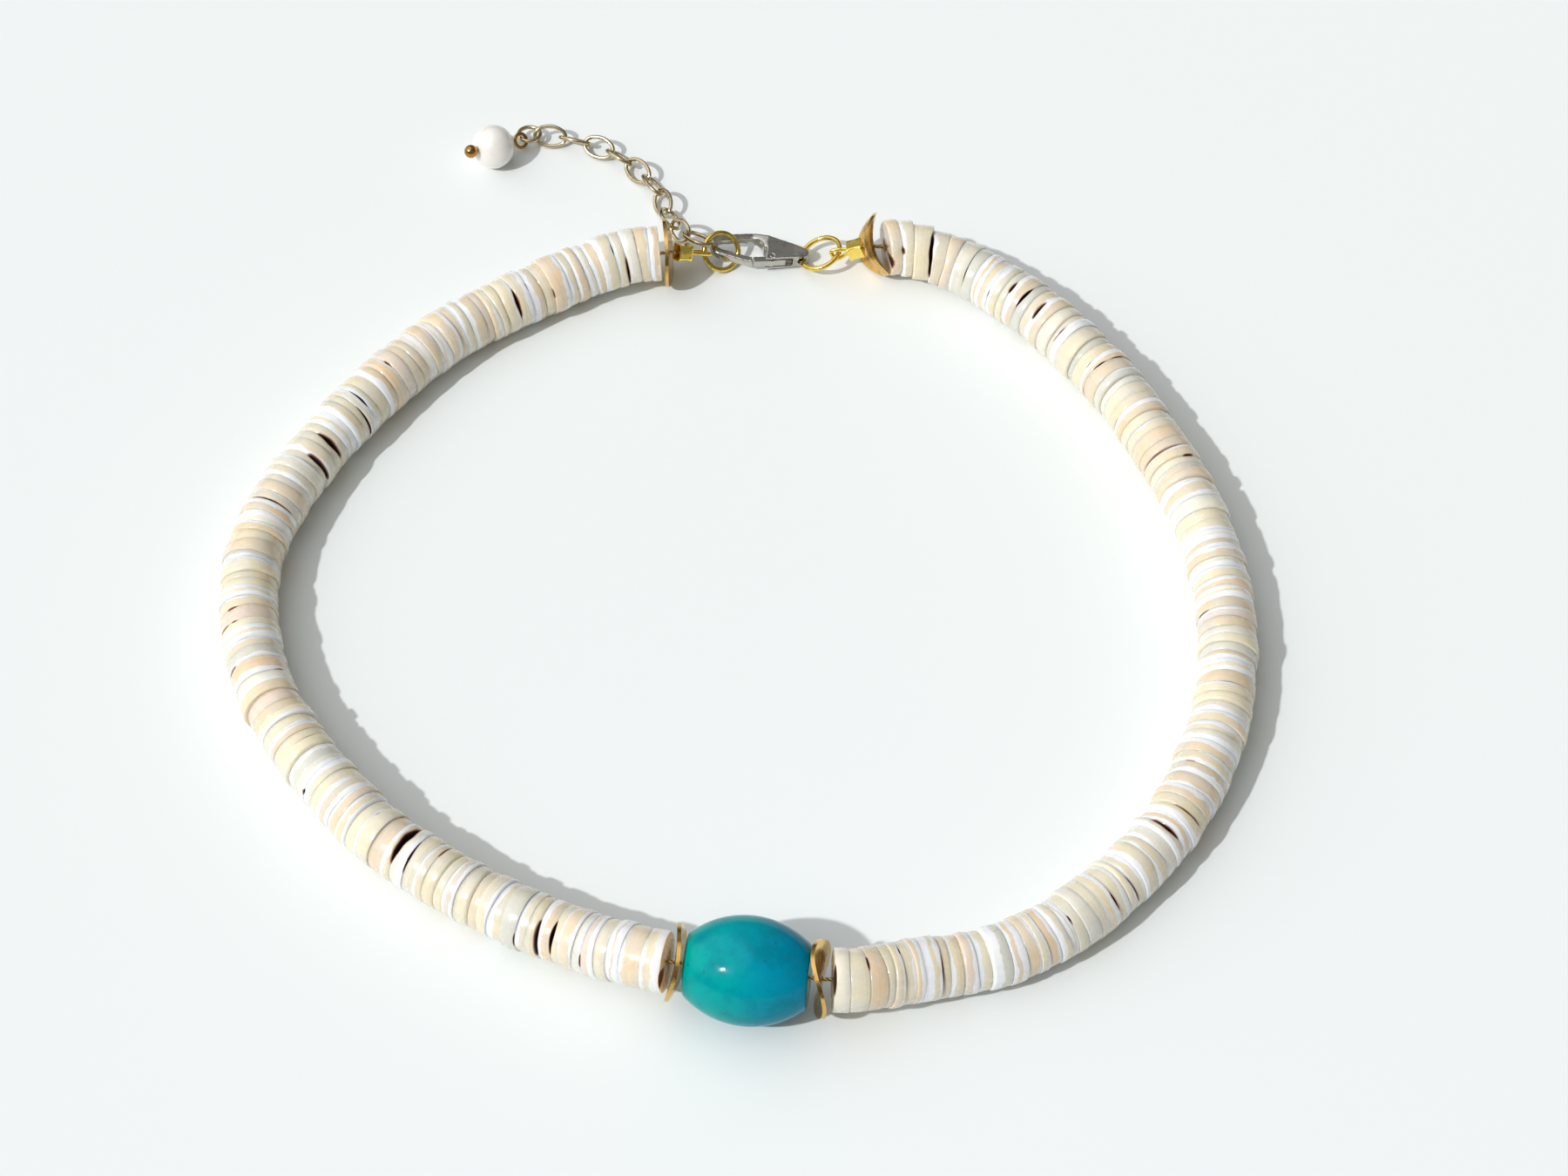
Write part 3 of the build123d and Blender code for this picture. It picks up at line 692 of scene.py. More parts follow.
def cad_triangles(node: bpy.types.Object) -> tuple[np.ndarray, np.ndarray]:
    """Reads a CAD node's mesh.

    Args:
        node: The CAD node.

    Returns:
        Its welded points in millimetres, and its triangles.
    """
    mesh = node.data
    points = np.empty(len(mesh.vertices) * 3)
    mesh.vertices.foreach_get("co", points)
    points = points.reshape(-1, 3) / MM
    mesh.calc_loop_triangles()
    triangles = np.empty(len(mesh.loop_triangles) * 3, dtype=np.int32)
    mesh.loop_triangles.foreach_get("vertices", triangles)
    welded, places = np.unique(np.round(points, 4), axis=0, return_inverse=True)
    return welded, places.reshape(-1)[triangles].reshape(-1, 3)


def loose_parts(points: np.ndarray, triangles: np.ndarray) -> list[np.ndarray]:
    """Splits triangles into loose parts.

    Args:
        points: The points.
        triangles: The triangles.

    Returns:
        The triangles of each part.
    """
    labels = np.arange(len(points))
    while True:
        lowest = labels[triangles].min(axis=1)
        fresh = labels.copy()
        for corner in range(3):
            np.minimum.at(fresh, triangles[:, corner], lowest)
        fresh = fresh[fresh]
        if np.array_equal(fresh, labels):
            break
        labels = fresh
    owner = labels[triangles[:, 0]]
    return [triangles[owner == label] for label in np.unique(owner)]


def softened(node: bpy.types.Object, name: str, voxel: float, rounds: int) -> bpy.types.Object:
    """Makes a cast or pressed form of a crisp CAD node, with its edges rounded.

    Args:
        node: The CAD node.
        name: The piece's name.
        voxel: Size of the mesh's cells, in millimetres.
        rounds: Rounds of smoothing.

    Returns:
        The new object.
    """
    points, triangles = cad_triangles(node)
    # The raw mesh is a thousand times too large, so that its cells are set in millimetres.
    raw = mesh_object(name + "_raw", points / MM, triangles)
    cells = raw.modifiers.new("cells", "REMESH")
    cells.mode = "VOXEL"
    cells.voxel_size = voxel
    soften = raw.modifiers.new("soften", "SMOOTH")
    soften.factor = 0.5
    soften.iterations = rounds
    graph = bpy.context.evaluated_depsgraph_get()
    mesh = bpy.data.meshes.new_from_object(raw.evaluated_get(graph))
    bpy.data.objects.remove(raw)
    mesh.name = name
    mesh.transform(Matrix.Scale(MM, 4))
    mesh.shade_smooth()
    made = bpy.data.objects.new(name, mesh)
    bpy.context.scene.collection.objects.link(made)
    return made


def dress(piece: bpy.types.Object, material: bpy.types.Material) -> None:
    """Gives a piece one material, in the slots that it has or in a new one."""
    if not piece.material_slots:
        piece.data.materials.append(material)
    for held in piece.material_slots:
        held.material = material


# ---------------------------------------------------------------- shell strings


class ShellTone(Enum):
    """Colours that the shell discs have."""

    CREAM = linear(238, 224, 194)
    BEIGE = linear(232, 212, 180)
    PEACH = linear(236, 210, 176)
    IVORY = linear(240, 232, 214)
    GREY = linear(216, 214, 200)
    PINK = linear(234, 214, 196)


# How often each tone comes, in the order above.
TONE_WEIGHTS = (40, 22, 14, 16, 4, 4)
# What a disc's mesh carries at each point for the shell's finish, the painted shade of its gaps
# among them.
SHELL_VALUES = ("layer", "gap_shade", "seed", "white_to", "white_from")
# Places across a disc that no layer reaches, for a disc without a white layer there.
NO_NEAR_WHITE, NO_FAR_WHITE = -1.0, 2.0
# Points beyond the first share of a disc's radius are its rim, and within the second its hole.
RIM_FROM, HOLE_TO = 0.93, 0.4
CENTRE_ROUNDS = 3
# Uneven curves: number of lobes, how fast the finer ones fade, and what brings the sum to about 1.
LOBES, LOBE_FADE, SWING_SUM = 5, 0.7, 1.8
# How far a quarter round lies back after a third of its turn: 1 - cos 30.
ROUND_BACK = 0.134


class RingBase(Enum):
    """What the radius of a ring of points is measured from."""

    HOLE = "hole"
    BODY = "body"
    EDGE = "edge"


@dataclass(frozen=True)
class SideRing:
    """One ring of points on a disc's side.

    Attributes:
        base: What its radius is measured from.
        part: Radius in the hole, share of the disc's radius, or share of the edge's roundness.
        inset: How far it lies behind the face, as a share of the edge's roundness.
        gape: How far it follows a gap's opening.
        mark: How much of a gap's painted shade it takes.
    """

    base: RingBase
    part: float
    inset: float = 0.0
    gape: float = 1.0
    mark: float = 1.0


SIDE_RINGS = (
    SideRing(RingBase.HOLE, 0.55, gape=0.0, mark=0.0),
    SideRing(RingBase.BODY, 0.5, gape=0.0),
    SideRing(RingBase.BODY, 0.78, gape=0.8),
    SideRing(RingBase.EDGE, 1.0),
    SideRing(RingBase.EDGE, 0.5, ROUND_BACK, mark=0.7),
    SideRing(RingBase.EDGE, ROUND_BACK, 0.5, mark=0.3),
    SideRing(RingBase.EDGE, 0.0, 1.0, mark=0.08),
)


@dataclass(frozen=True)
class Gap:
    """A dark gap between two discs.

    Attributes:
        x: Where the thread passes it.
        y: The same, the other way.
        clock: Where it is round the disc, in degrees from the top towards the outside.
        reach: Half its length round the disc, in degrees.
        opening: Its widest half width.
        dark: Strength of the painted shade in it.
    """

    x: float
    y: float
    clock: float
    reach: float
    opening: float
    dark: float = 1.0


@dataclass
class DiscSeat:
    """Where one CAD disc sits."""

    centre: np.ndarray
    hole: np.ndarray
    axis: np.ndarray
    half: float
    radius: float

    @classmethod
    def measured(cls, points: np.ndarray, triangles: np.ndarray) -> "DiscSeat":
        """Measures a disc.

        Args:
            points: All points of the string.
            triangles: The disc's triangles.

        Returns:
            Its seat.
        """
        corners = points[triangles]
        normals = np.cross(corners[:, 1] - corners[:, 0], corners[:, 2] - corners[:, 0])
        areas = np.linalg.norm(normals, axis=1) + 1e-12
        spread = (normals / areas[:, None]).T @ normals
        axis = np.linalg.eigh(spread)[1][:, -1]
        own = points[np.unique(triangles)]
        centre = own.mean(axis=0)
        for _ in range(CENTRE_ROUNDS):
            along = (own - centre) @ axis
            centre = centre + axis * (along.max() + along.min()) / 2
            aside = own - centre - np.outer((own - centre) @ axis, axis)
            away = np.linalg.norm(aside, axis=1)
            centre = centre + aside[away > RIM_FROM * away.max()].mean(axis=0)
        along = (own - centre) @ axis
        aside = own - centre - np.outer(along, axis)
        away = np.linalg.norm(aside, axis=1)
        hole = centre + aside[away < HOLE_TO * away.max()].mean(axis=0)
        return cls(centre, hole, axis, (along.max() - along.min()) / 2, away.max())


@dataclass
class ShellString:
    """One strand of drilled shell discs in one mesh, each pressed a hair into its neighbours.

    Attributes:
        node: The CAD node that it replaces.
        side: -1 for the left strand, 1 for the right one.
        gaps: The chart of its dark gaps.
        seed: Start of its chance.
        sides: Points round a disc.
        press: How far a face goes past the plane where two discs meet.
        edge_round: Least and greatest roundness of most edges.
        tight_edge: The same for crisp edges.
        tight_share: Share of boundaries with crisp edges.
        edge_limit: Greatest roundness, as a share of the disc's thickness.
        edge_swing: How uneven an edge's roundness is, and the limits of its change.
        outline_swing: How uneven the outline is, and how far it may pass the CAD disc's.
        face_swing: How wavy a face is.
        end_calm: What is left of that at the strand's two ends.
        tilt: How far a face leans.
        crown: Greatest swell of a rim.
        crown_mark: How much of the two faces' painted shade it takes.
        fray: How uneven a gap's opening is, and the limits of its change.
        gap_shade_gain: How fast a gap's painted shade reaches its full strength.
        catch: How far from a boundary a charted gap may lie.
        shade: Darkest and lightest shade of a tone.
        floor_clear: Least height above the floor.
    """

    node: str
    side: int
    gaps: Sequence[Gap]
    seed: int
    sides: int = 48
    press: float = 0.03
    edge_round: tuple[float, float] = (0.14, 0.42)
    tight_edge: tuple[float, float] = (0.05, 0.1)
    tight_share: float = 0.35
    edge_limit: float = 0.3
    edge_swing: tuple[float, float, float] = (0.35, 0.4, 1.8)
    outline_swing: tuple[float, float] = (0.03, 0.01)
    face_swing: float = 0.1
    end_calm: float = 0.2
    tilt: float = 0.05
    crown: float = 0.07
    crown_mark: float = 0.15
    fray: tuple[float, float, float] = (0.5, 0.35, 1.6)
    gap_shade_gain: float = 2.5
    catch: float = 2.0
    shade: tuple[float, float] = (0.98, 1.08)
    floor_clear: float = 0.005
    seats: list[DiscSeat] = field(default_factory=list)
    meetings: list[np.ndarray] = field(default_factory=list)

    def measure(self, frame: dict) -> None:
        """Finds the discs in the CAD node, in order from the stone to the clasp.

        Args:
            frame: The loaded frame.
        """
        points, triangles = cad_triangles(frame["nodes"][self.node])
        seats = [DiscSeat.measured(points, part) for part in loose_parts(points, triangles)]
        seats.sort(key=self._turn)
        for number, seat in enumerate(seats):
            before, after = seats[max(number - 1, 0)], seats[min(number + 1, len(seats) - 1)]
            if seat.axis @ (after.centre - before.centre) < 0:
                seat.axis = -seat.axis
        self.seats = seats

    def _turn(self, seat: DiscSeat) -> float:
        """Gives a disc's turn round the loop, counted from a tenth of it before the stone."""
        turn = math.atan2(self.side * seat.centre[0], -seat.centre[1])
        return (turn + FULL_TURN / 10) % FULL_TURN

    def faces_between(self, chooser: random.Random) -> list[tuple[np.ndarray, np.ndarray]]:
        """Works out the plane in which each two neighbours meet.

        Args:
            chooser: Source of chance, for their slight tilts.

        Returns:
            A point and a normal for each, from the first disc's near face to the last's far one.
        """
        seats = self.seats
        planes = [(seats[0].centre - seats[0].axis * seats[0].half, seats[0].axis)]
        for one, two in zip(seats, seats[1:]):
            middle = (one.centre + one.axis * one.half + two.centre - two.axis * two.half) / 2
            tilt = np.array([chooser.uniform(-self.tilt, self.tilt) for _ in range(3)])
            planes.append((middle, unit(unit(one.axis + two.axis) + tilt)))
        planes.append((seats[-1].centre + seats[-1].axis * seats[-1].half, seats[-1].axis))
        self.meetings = [middle for middle, _ in planes]
        return planes

    def nearest(self, gap: Gap) -> int:
        """Finds the boundary that a gap opens.

        Args:
            gap: The gap.

        Returns:
            The boundary's number, or -1 where none is near.
        """
        away = [math.hypot(place[0] - gap.x, place[1] - gap.y) for place in self.meetings]
        best = int(np.argmin(away))
        return best if away[best] < self.catch else -1

    def opening(self, number: int, clock: np.ndarray) -> tuple[np.ndarray, np.ndarray]:
        """Works out how far the gaps at one boundary open.

        Args:
            number: Number of discs before the boundary.
            clock: Places round the disc, in radians.

        Returns:
            The half width, and the strength of the painted shade, at each place.
        """
        width = np.zeros(len(clock))
        gap_shade = np.zeros(len(clock))
        share, least, most = self.fray
        for gap in self.gaps:
            if self.nearest(gap) == number:
                away = (clock - math.radians(gap.clock) + math.pi) % FULL_TURN - math.pi
                window = np.clip(1 - (away / math.radians(gap.reach)) ** 2, 0, 1)
                swing = self._swing(random.Random(number), clock * 2)
                fray = np.clip(1 + share * swing, least, most)
                width = np.maximum(width, gap.opening * window * fray)
                # The gap's painted shade, full across most of its length.
                gap_shade = np.maximum(gap_shade, gap.dark * np.clip(window * self.gap_shade_gain, 0, 1))
        return width, gap_shade

    def build(self) -> bpy.types.Object:
        """Builds the strand.

        Returns:
            One joined mesh.
        """
        chooser = random.Random(self.seed)
        planes = self.faces_between(chooser)
        clock = np.arange(self.sides) * 2 * math.pi / self.sides
        wobble = [self._swing(chooser, clock) * self.face_swing for _ in planes]
        for end in (0, -1):
            wobble[end] = wobble[end] * self.end_calm
        edges = [self._edge(chooser, clock) for _ in planes]
        points: list[np.ndarray] = []
        faces: list[tuple[int, ...]] = []
        values: dict[str, list[np.ndarray]] = {name: [] for name in SHELL_VALUES}
        tones: list[np.ndarray] = []
        for number, seat in enumerate(self.seats):
            meetings = [(planes[at], wobble[at], edges[at]) for at in (number, number + 1)]
            rings, layers, gap_shades = self._disc(number, seat, meetings, clock, chooser)
            faces += self._faces(sum(map(len, points)), len(rings))
            points.append(rings.reshape(-1, 3))
            tone, white_to, white_from = self._look(chooser)
            # The painted shade of the gaps goes onto the mesh along with the layers.
            carried = (layers, gap_shades, chooser.random(), white_to, white_from)
            for name, value in zip(SHELL_VALUES, carried):
                values[name].append(np.broadcast_to(value, layers.shape).reshape(-1))
            tones.append(np.tile((*tone, 1.0), (layers.size, 1)))
        made = mesh_object(self.node + "_discs", np.concatenate(points), faces)
        for name, parts in values.items():
            attribute = made.data.attributes.new(name, "FLOAT", "POINT")
            attribute.data.foreach_set("value", np.concatenate(parts).astype(np.float32))
        colour = made.data.attributes.new("tone", "FLOAT_COLOR", "POINT")
        colour.data.foreach_set("color", np.concatenate(tones).astype(np.float32).reshape(-1))
        return made

    @staticmethod
    def _swing(chooser: random.Random, clock: np.ndarray) -> np.ndarray:
        """Makes a smooth uneven curve round a disc, from about -1 to 1.

        Args:
            chooser: Source of chance.
            clock: Places round the disc.

        Returns:
            The curve's values.
        """
        total = np.zeros(len(clock))
        for lobes in range(1, LOBES + 1):
            share = chooser.uniform(0.2, 1.0) / lobes**LOBE_FADE
            total += share * np.cos(lobes * clock + chooser.uniform(0, FULL_TURN))
        return total / SWING_SUM

    def _edge(self, chooser: random.Random, clock: np.ndarray) -> np.ndarray:
        """Chooses how round the edges at one boundary are.

        Args:
            chooser: Source of chance.
            clock: Places round the disc.

        Returns:
            The radius of the edge at each place.
        """
        tight = chooser.random() < self.tight_share
        usual = chooser.uniform(*(self.tight_edge if tight else self.edge_round))
        share, least, most = self.edge_swing
        return usual * np.clip(1 + share * self._swing(chooser, clock), least, most)

    def _look(self, chooser: random.Random) -> tuple[Colour, float, float]:
        """Chooses a disc's tone and white layers.

        Args:
            chooser: Source of chance.

        Returns:
            The tone, where the first white layer ends and where the last one starts.
        """
        tone = chooser.choices(list(ShellTone), weights=TONE_WEIGHTS)[0].value
        shade = chooser.uniform(*self.shade)
        kind = chooser.random()
        white_to = chooser.uniform(0.2, 0.5) if kind < 0.4 else NO_NEAR_WHITE
        white_from = chooser.uniform(0.5, 0.85) if 0.3 < kind < 0.66 else NO_FAR_WHITE
        return tuple(min(1.0, channel * shade) for channel in tone), white_to, white_from

    def _faces(self, start: int, rings: int) -> list[tuple[int, ...]]:
        """Joins a disc's rings, the last to the first through its hole.

        Args:
            start: Number of the disc's first point.
            rings: Number of rings.

        Returns:
            The faces.
        """
        made = []
        for ring in range(rings):
            here = start + ring * self.sides
            there = start + (ring + 1) % rings * self.sides
            for step in range(self.sides):
                turn = (step + 1) % self.sides
                made.append((here + step, here + turn, there + turn, there + step))
        return made

    def _disc(
        self,
        number: int,
        seat: DiscSeat,
        meetings: Sequence[tuple],
        clock: np.ndarray,
        chooser: random.Random,
    ) -> tuple[np.ndarray, np.ndarray, np.ndarray]:
        """Shapes one disc.

        Args:
            number: Its place in the string.
            seat: Its CAD seat.
            meetings: For both its faces, the plane, its unevenness and the edge's roundness.
            clock: Places round the disc.
            chooser: Source of chance.

        Returns:
            Its rings of points, their places across the thickness, and their painted shade from the
            gaps.
        """
        up = unit(np.array((0, 0, 1.0)) - seat.axis * seat.axis[2])
        outward = np.cross(seat.axis, up)
        if outward @ seat.centre < 0:
            outward = -outward
        turn = np.outer(np.cos(clock), up) + np.outer(np.sin(clock), outward)
        uneven, past = self.outline_swing
        swing = self._swing(chooser, clock) * uneven
        radius = seat.radius * (1 + swing - max(0.0, swing.max() - past))
        crown = chooser.uniform(0.0, self.crown)
        near, far = [
            self._side(seat, sign, meeting, self.opening(index, clock), radius, turn)
            for sign, index, meeting in zip((-1, 1), (number, number + 1), meetings)
        ]
        before, after = near[-1], far[-1]
        rim = (
            (before[0] + after[0]) / 2 + turn * crown,
            (before[1] + after[1]) / 2,
            # The rim takes a share of both faces' painted shade.
            (before[2] + after[2]) * self.crown_mark,
        )
        rings, levels, marks = map(np.array, zip(*near, rim, *reversed(far)))
        low, high = before[1] - meetings[0][2], after[1] + meetings[1][2]
        layers = np.clip((levels - low) / (high - low), 0, 1)
        rings[:, :, 2] = np.maximum(rings[:, :, 2], self.floor_clear)
        return rings, layers, marks

    def _side(
        self,
        seat: DiscSeat,
        sign: int,
        meeting: tuple,
        opening: tuple[np.ndarray, np.ndarray],
        radius: np.ndarray,
        turn: np.ndarray,
    ) -> list[tuple[np.ndarray, np.ndarray, np.ndarray]]:
        """Shapes one side of a disc.

        Args:
            seat: The disc's CAD seat.
            sign: -1 for its near side, 1 for its far one.
            meeting: The plane of its face, its unevenness and the edge's roundness.
            opening: Half width and painted shade of the gaps there.
            radius: The disc's outline.
            turn: Directions to the places round the disc.

        Returns:
            Points, heights along the axis and painted shade of each ring, from the hole to the rim.
        """
        (middle, normal), uneven, edge = meeting
        width, gap_shade = opening
        edge = np.minimum(edge, self.edge_limit * seat.half * 2)
        made = []
        for ring in SIDE_RINGS:
            origin = seat.hole if ring.base is RingBase.HOLE else seat.centre
            away = {
                RingBase.HOLE: np.full(self.sides, ring.part),
                RingBase.BODY: radius * ring.part,
                RingBase.EDGE: radius - edge * ring.part,
            }[ring.base]
            flat = origin + turn * away[:, None]
            height = (middle - flat) @ normal + sign * self.press + uneven
            height = height / (seat.axis @ normal)
            height = height - sign * (width * ring.gape + edge * ring.inset)
            # Each ring takes its share of the gap's painted shade.
            made.append((flat + np.outer(height, seat.axis), height, gap_shade * ring.mark))
        return made

    def place(self, effects: Effects, finish: ShellFinish, frame: dict) -> bpy.types.Object:
        """Builds, dresses and seats the strand.

        Args:
            effects: The shared effects.
            finish: The shell's finish.
            frame: The loaded frame.

        Returns:
            The piece.
        """
        self.measure(frame)
        made = self.build()
        dress(made, shared_material(finish, effects))
        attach(made, "necklace")
        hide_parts(self.node)
        return made


LEFT_GAPS = (
    Gap(-17.4, 59.8, -80, 41, 0.1, 0.9),
    Gap(-18.6, 59.4, -18, 16, 0.08, 0.7),
    Gap(-33.5, 51.4, -48, 38, 0.22, 0.62),
    Gap(-30.3, 53.5, -21, 15, 0.08, 0.6),
    Gap(-28.5, 54.6, -62, 12, 0.06, 0.5),
    Gap(-49.6, 36.7, -5, 12, 0.08, 0.6),
    Gap(-53.4, 31.6, -22, 28, 0.14, 0.8),
    Gap(-54.5, 29.9, -64, 42, 0.1, 0.8),
    Gap(-57.7, 24.9, -42, 44, 0.26, 1.0),
    Gap(-59.9, 20.8, -54, 42, 0.14, 0.75),
    Gap(-63.5, 12.7, -9, 56, 0.08, 0.8),
    Gap(-65.5, 4.5, 33, 23, 0.08, 0.6),
    Gap(-65.2, -5.2, 28, 14, 0.08, 0.7),
    Gap(-64.8, -7.6, 28, 9, 0.12, 0.55),
    Gap(-64.7, -8.1, 58, 21, 0.1, 0.55),
    Gap(-62.6, -15.3, 66, 22, 0.1, 0.6),
    Gap(-62.3, -16.1, -39, 12, 0.08, 0.35),
    Gap(-52.7, -32.0, 68, 8, 0.16, 1.0),
    Gap(-55.2, -28.6, -7, 32, 0.06, 0.7),
    Gap(-44.8, -40.8, -9, 8, 0.08, 0.6),
    Gap(-41.3, -43.7, 4, 55, 0.34, 1.0),
    Gap(-40.2, -44.5, 24, 39, 0.12, 0.6),
    Gap(-36.8, -46.9, -22, 22, 0.08, 0.7),
    Gap(-30.7, -50.8, 91, 21, 0.08, 0.5),
    Gap(-25.2, -53.8, 79, 20, 0.08, 0.6),
    Gap(-22.9, -54.9, 59, 45, 0.12, 1.0),
    Gap(-21.0, -55.9, 45, 39, 0.24, 1.0),
    Gap(-17.3, -57.7, 70, 18, 0.06, 0.7),
    Gap(-8.8, -61.1, 74, 24, 0.1, 0.6),
)
RIGHT_GAPS = (
    Gap(13.4, -64.0, 33, 33, 0.16, 0.8),
    Gap(17.1, -63.4, 2, 16, 0.08, 0.9),
    Gap(21.0, -62.1, -12, 13, 0.14, 0.8),
    Gap(24.2, -61.2, 49, 54, 0.12, 0.95),
    Gap(41.7, -54.2, 21, 11, 0.1, 0.7),
    Gap(46.9, -49.9, 42, 22, 0.14, 1.0),
    Gap(49.4, -47.6, 53, 38, 0.08, 0.7),
    Gap(54.6, -41.5, 10, 38, 0.3, 1.0),
    Gap(57.0, -38.0, 29, 41, 0.1, 0.7),
    Gap(60.1, -32.5, -21, 13, 0.05, 0.6),
    Gap(66.2, -5.6, -58, 17, 0.05, 0.6),
    Gap(64.7, -19.4, 7, 38, 0.06, 0.55),
    Gap(61.0, 20.0, 22, 15, 0.06, 0.7),
    Gap(60.2, 21.9, -28, 76, 0.07, 0.45),
    Gap(41.9, 51.0, -25, 29, 0.2, 1.0),
    Gap(45.0, 47.6, -26, 27, 0.16, 0.85),
    Gap(47.7, 44.3, -35, 24, 0.1, 0.8),
    Gap(51.7, 38.9, -40, 12, 0.08, 0.6),
    Gap(52.6, 37.4, -25, 20, 0.12, 0.6),
    Gap(52.8, 37.1, 19, 15, 0.06, 0.7),
    Gap(52.3, 37.8, -101, 22, 0.06, 0.6),
    Gap(57.0, 29.3, -85, 24, 0.06, 0.5),
    Gap(27.0, 61.1, -44, 58, 0.26, 1.0),
    Gap(21.7, 62.1, -79, 13, 0.16, 1.0),
    Gap(23.3, 61.9, -51, 9, 0.1, 0.6),
    Gap(33.2, 58.3, -37, 51, 0.09, 0.75),
    Gap(38.5, 54.2, -57, 13, 0.06, 0.6),
    Gap(40.4, 52.5, -21, 16, 0.14, 1.0),
)


# ---------------------------------------------------------------- stone and metal


@dataclass
class Stone:
    """The barrel stone at the front."""

    node: str = "stone_barrel"

    def place(self, effects: Effects, frame: dict) -> None:
        """Dresses the stone.

        Args:
            effects: The shared effects.
            frame: The loaded frame.
        """
        low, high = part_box(self.node)
        dress(frame["nodes"][self.node], StoneFinish().material(effects, low.x, high.x))


@dataclass
class PlainMetal:
    """Metal pieces whose CAD form is right as it is."""

    nodes: Sequence[str]
    finish: MetalFinish
    slot: str

    def place(self, effects: Effects, frame: dict) -> None:
        """Dresses the CAD nodes.

        Args:
            effects: The shared effects.
            frame: The loaded frame.
        """
        material = shared_material(self.finish, effects)
        for node in self.nodes:
            dress(frame["nodes"][node], material)


@dataclass
class SoftenedMetal(PlainMetal):
    """Metal pieces that are cast or pressed, so their edges are round."""

    body: str = "necklace"
    voxel: float = 0.09
    rounds: int = 6

    def place(self, effects: Effects, frame: dict) -> None:
        """Builds and dresses the pieces.

        Args:
            effects: The shared effects.
            frame: The loaded frame.
        """
        material = shared_material(self.finish, effects)
        for node in self.nodes:
            made = softened(frame["nodes"][node], node + "_cast", self.voxel, self.rounds)
            dress(made, material)
            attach(made, self.body)
            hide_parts(node)


@dataclass
class Drop:
    """The pearl on its pin, and the thread that carries the strands."""

    pearl: str = "pearl"
    thread: str = "beading_wire"

    def place(self, effects: Effects, frame: dict) -> None:
        """Dresses the pearl and the thread.

        Args:
            effects: The shared effects.
            frame: The loaded frame.
        """
        dress(frame["nodes"][self.pearl], PearlFinish().material(effects))
        dress(frame["nodes"][self.thread], ThreadFinish().material())


# ---------------------------------------------------------------- studio


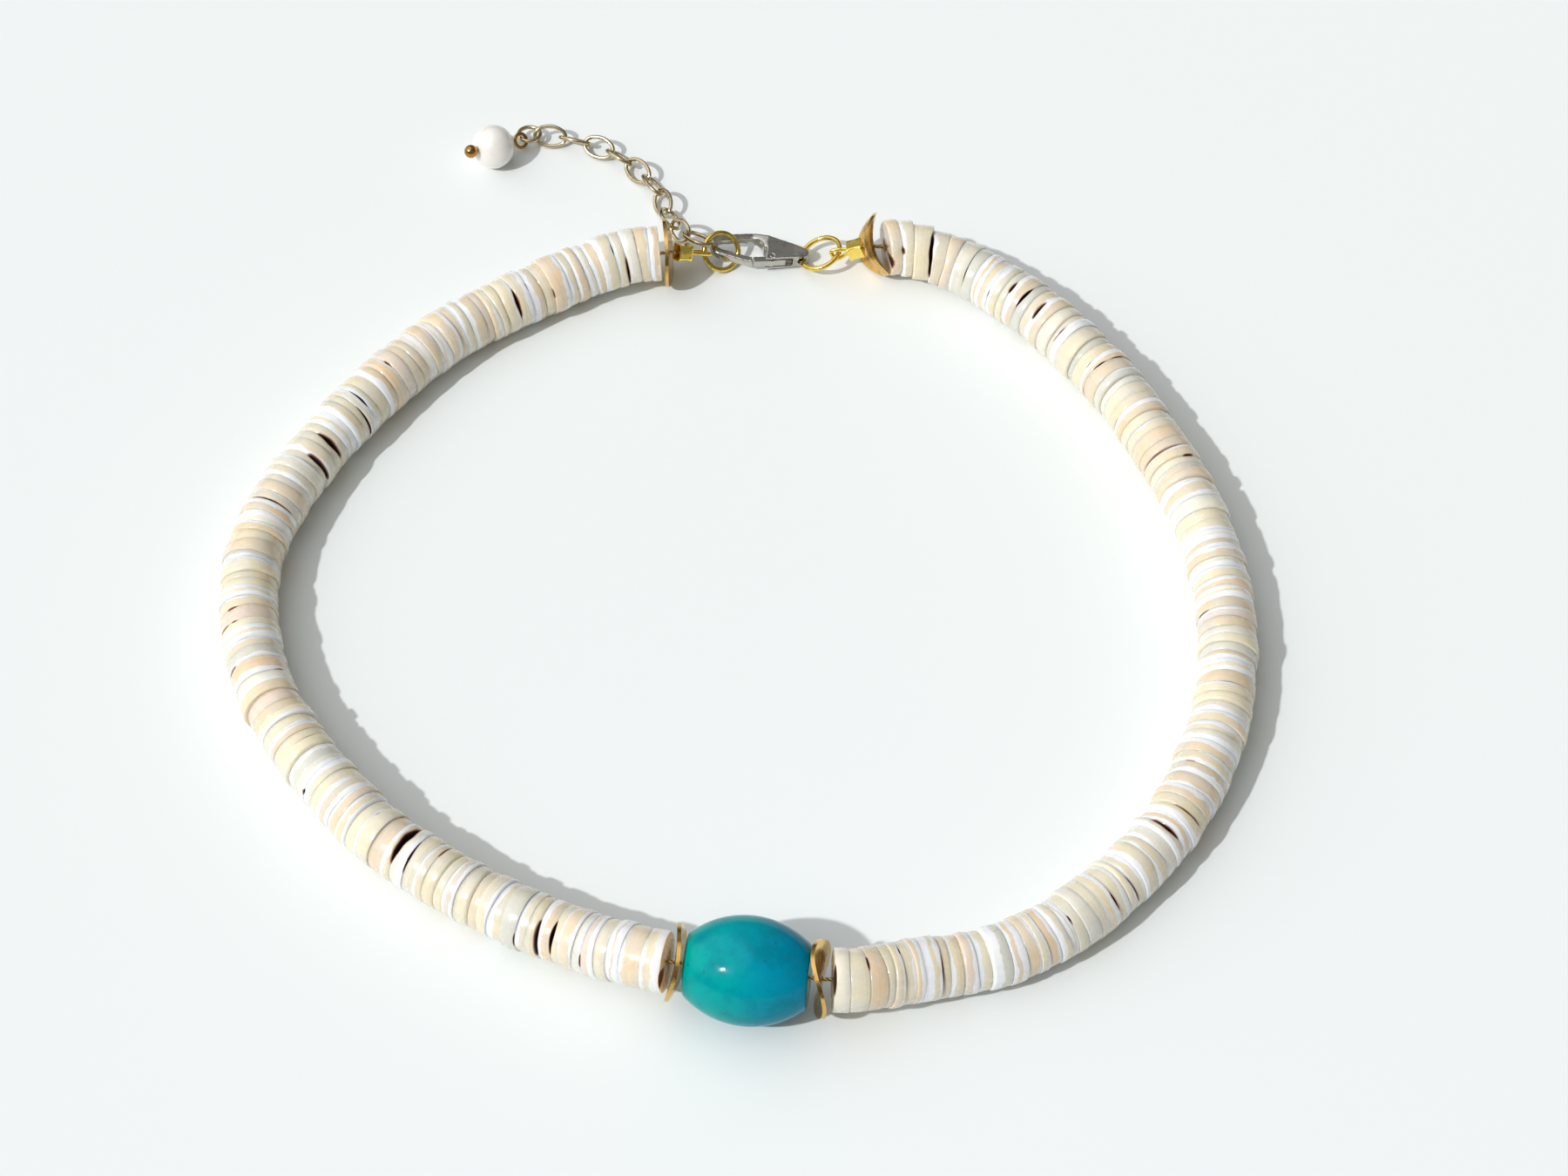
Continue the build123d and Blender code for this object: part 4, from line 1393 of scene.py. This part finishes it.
@dataclass
class Studio:
    """Floor, light and camera. Angles are in degrees."""

    floor_size: float = 6000.0
    floor_colour: Colour = linear(235, 240, 238)
    floor_tint: Colour = linear(237, 241, 243)
    key_turn: float = -53.0
    key_height: float = 45.0
    key_spread: float = 2.0
    key_strength: float = 2.1
    sky_strength: float = 0.87
    low_wall: Colour = linear(120, 120, 118)
    high_wall: Colour = linear(170, 170, 168)
    dark_wall: Colour = linear(52, 50, 46)
    dark_share: float = 0.6
    window_light: Colour = (1.4, 1.4, 1.4)
    window_edge: tuple[float, float] = (0.62, 0.84)
    window_from: tuple[float, float, float] = (-0.62, 0.1, 0.78)
    aim: tuple[float, float, float] = (6.7, 3.0, 0.0)
    look_down: float = 52.0
    distance: float = 494.0
    lens: float = 83.0
    sensor: float = 36.0

    def build(self) -> None:
        """Builds the studio."""
        self._floor()
        self._key()
        self._sky()
        self._camera()
        bpy.context.scene.view_settings.view_transform = "Standard"
        bpy.context.scene.view_settings.look = "None"

    def _floor(self) -> None:
        """Lays the plain pale floor."""
        half = self.floor_size / 2
        corners = np.array([(-1, -1, 0), (1, -1, 0), (1, 1, 0), (-1, 1, 0)]) * half
        floor = mesh_object("studio_floor", corners, [(0, 1, 2, 3)])
        material, graph, shader = new_material("pale_floor")
        tint = graph.noise(graph.place(), 3.0, 2.0)
        colour = graph.blend(tint, self.floor_colour, self.floor_tint)
        graph.join(colour, shader.inputs["Base Color"])
        set_sockets(shader, Roughness=0.6, Specular_IOR_Level=0.2)
        dress(floor, material)

    def _key(self) -> None:
        """Hangs the main light, which comes from the left."""
        light = bpy.data.lights.new("key", "SUN")
        light.energy = self.key_strength
        light.angle = math.radians(self.key_spread)
        lamp = bpy.data.objects.new("key", light)
        lamp.rotation_euler = Euler(
            (math.radians(90 - self.key_height), 0.0, math.radians(self.key_turn)), "XYZ"
        )
        bpy.context.scene.collection.objects.link(lamp)

    def _sky(self) -> None:
        """Makes the light of a room with one big window, for metal to mirror."""
        world = bpy.data.worlds.new("studio")
        world.use_nodes = True
        bpy.context.scene.world = world
        world.node_tree.nodes.clear()
        graph = Graph(world.node_tree)
        place = graph.node("ShaderNodeTexCoord").outputs["Generated"]
        facing = graph.node("ShaderNodeVectorMath", operation="DOT_PRODUCT")
        graph.join(place, facing.inputs[0])
        facing.inputs[1].default_value = Vector(self.window_from).normalized()
        window = graph.span(facing.outputs["Value"], *self.window_edge)
        split = graph.node("ShaderNodeSeparateXYZ")
        graph.join(place, split.inputs["Vector"])
        rise = graph.span(split.outputs["Z"], 0.0, 0.8)
        room = graph.blend(rise, self.low_wall, self.high_wall)
        uneven = graph.span(graph.noise(place, 2.2, 1.0), 0.4, 0.62)
        walls = graph.blend(uneven, graph.blend(self.dark_share, room, self.dark_wall), room)
        lit = graph.blend(window, walls, self.window_light)
        ground = graph.node("ShaderNodeBackground")
        graph.join(lit, ground.inputs["Color"])
        ground.inputs["Strength"].default_value = self.sky_strength
        out = graph.node("ShaderNodeOutputWorld")
        graph.join(ground.outputs["Background"], out.inputs["Surface"])

    def _camera(self) -> None:
        """Sets the camera at the photograph's angle."""
        data = bpy.data.cameras.new("camera")
        data.sensor_width = self.sensor
        data.lens = self.lens
        data.clip_start = 0.01
        camera = bpy.data.objects.new("camera", data)
        bpy.context.scene.collection.objects.link(camera)
        down = math.radians(self.look_down)
        ahead = Vector((0.0, math.cos(down), -math.sin(down)))
        camera.location = (Vector(self.aim) - ahead * self.distance) * MM
        camera.rotation_euler = Euler((math.radians(90) - down, 0.0, 0.0), "XYZ")
        bpy.context.scene.camera = camera


def main() -> None:
    """Builds the scene in order."""
    logging.basicConfig(level=logging.INFO, format="%(name)s: %(message)s")
    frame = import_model()
    effects = Effects()
    shell = ShellFinish()
    strings = (
        ShellString("shell_string_left", -1, LEFT_GAPS, seed=11),
        ShellString("shell_string_right", 1, RIGHT_GAPS, seed=29),
    )
    for string in strings:
        string.place(effects, shell, frame)
        LOG.info("%s: %d discs", string.node, len(string.seats))
    Stone().place(effects, frame)
    LOG.info("stone dressed")
    links = [f"chain_link_{number:02d}" for number in range(1, 11)]
    wavy_discs = [f"wavy_disc_{at}_{side}" for at in ("stone", "end") for side in ("left", "right")]
    metals = (
        SoftenedMetal(("clasp_body",), CLASP_SILVER, "clasp_metal", rounds=20),
        SoftenedMetal(("clasp_lever",), CLASP_SILVER, "clasp_metal", body="lever", voxel=0.07),
        SoftenedMetal(("crimp_left", "crimp_right"), GOLD_PLATE, "gold", voxel=0.07, rounds=8),
        PlainMetal(("clasp_pin",), CLASP_SILVER, "clasp_metal"),
        PlainMetal(("wire_guard_left", "wire_guard_right"), GOLD_PLATE, "gold"),
        PlainMetal(("jump_ring_left", "jump_ring_right"), OLD_GOLD_PLATE, "gold"),
        PlainMetal(wavy_discs, WAVY_GOLD, "gold"),
        PlainMetal((*links, "chain_end_ring"), CHAIN_PLATE, "chain_metal"),
        PlainMetal(("head_pin",), PIN_PLATE, "pin_metal"),
    )
    for metal in metals:
        metal.place(effects, frame)
        LOG.info("%s in %s", ", ".join(metal.nodes), metal.finish.name)
    Drop().place(effects, frame)
    LOG.info("pearl and thread dressed")
    Studio().build()


if __name__ == "__main__":
    main()
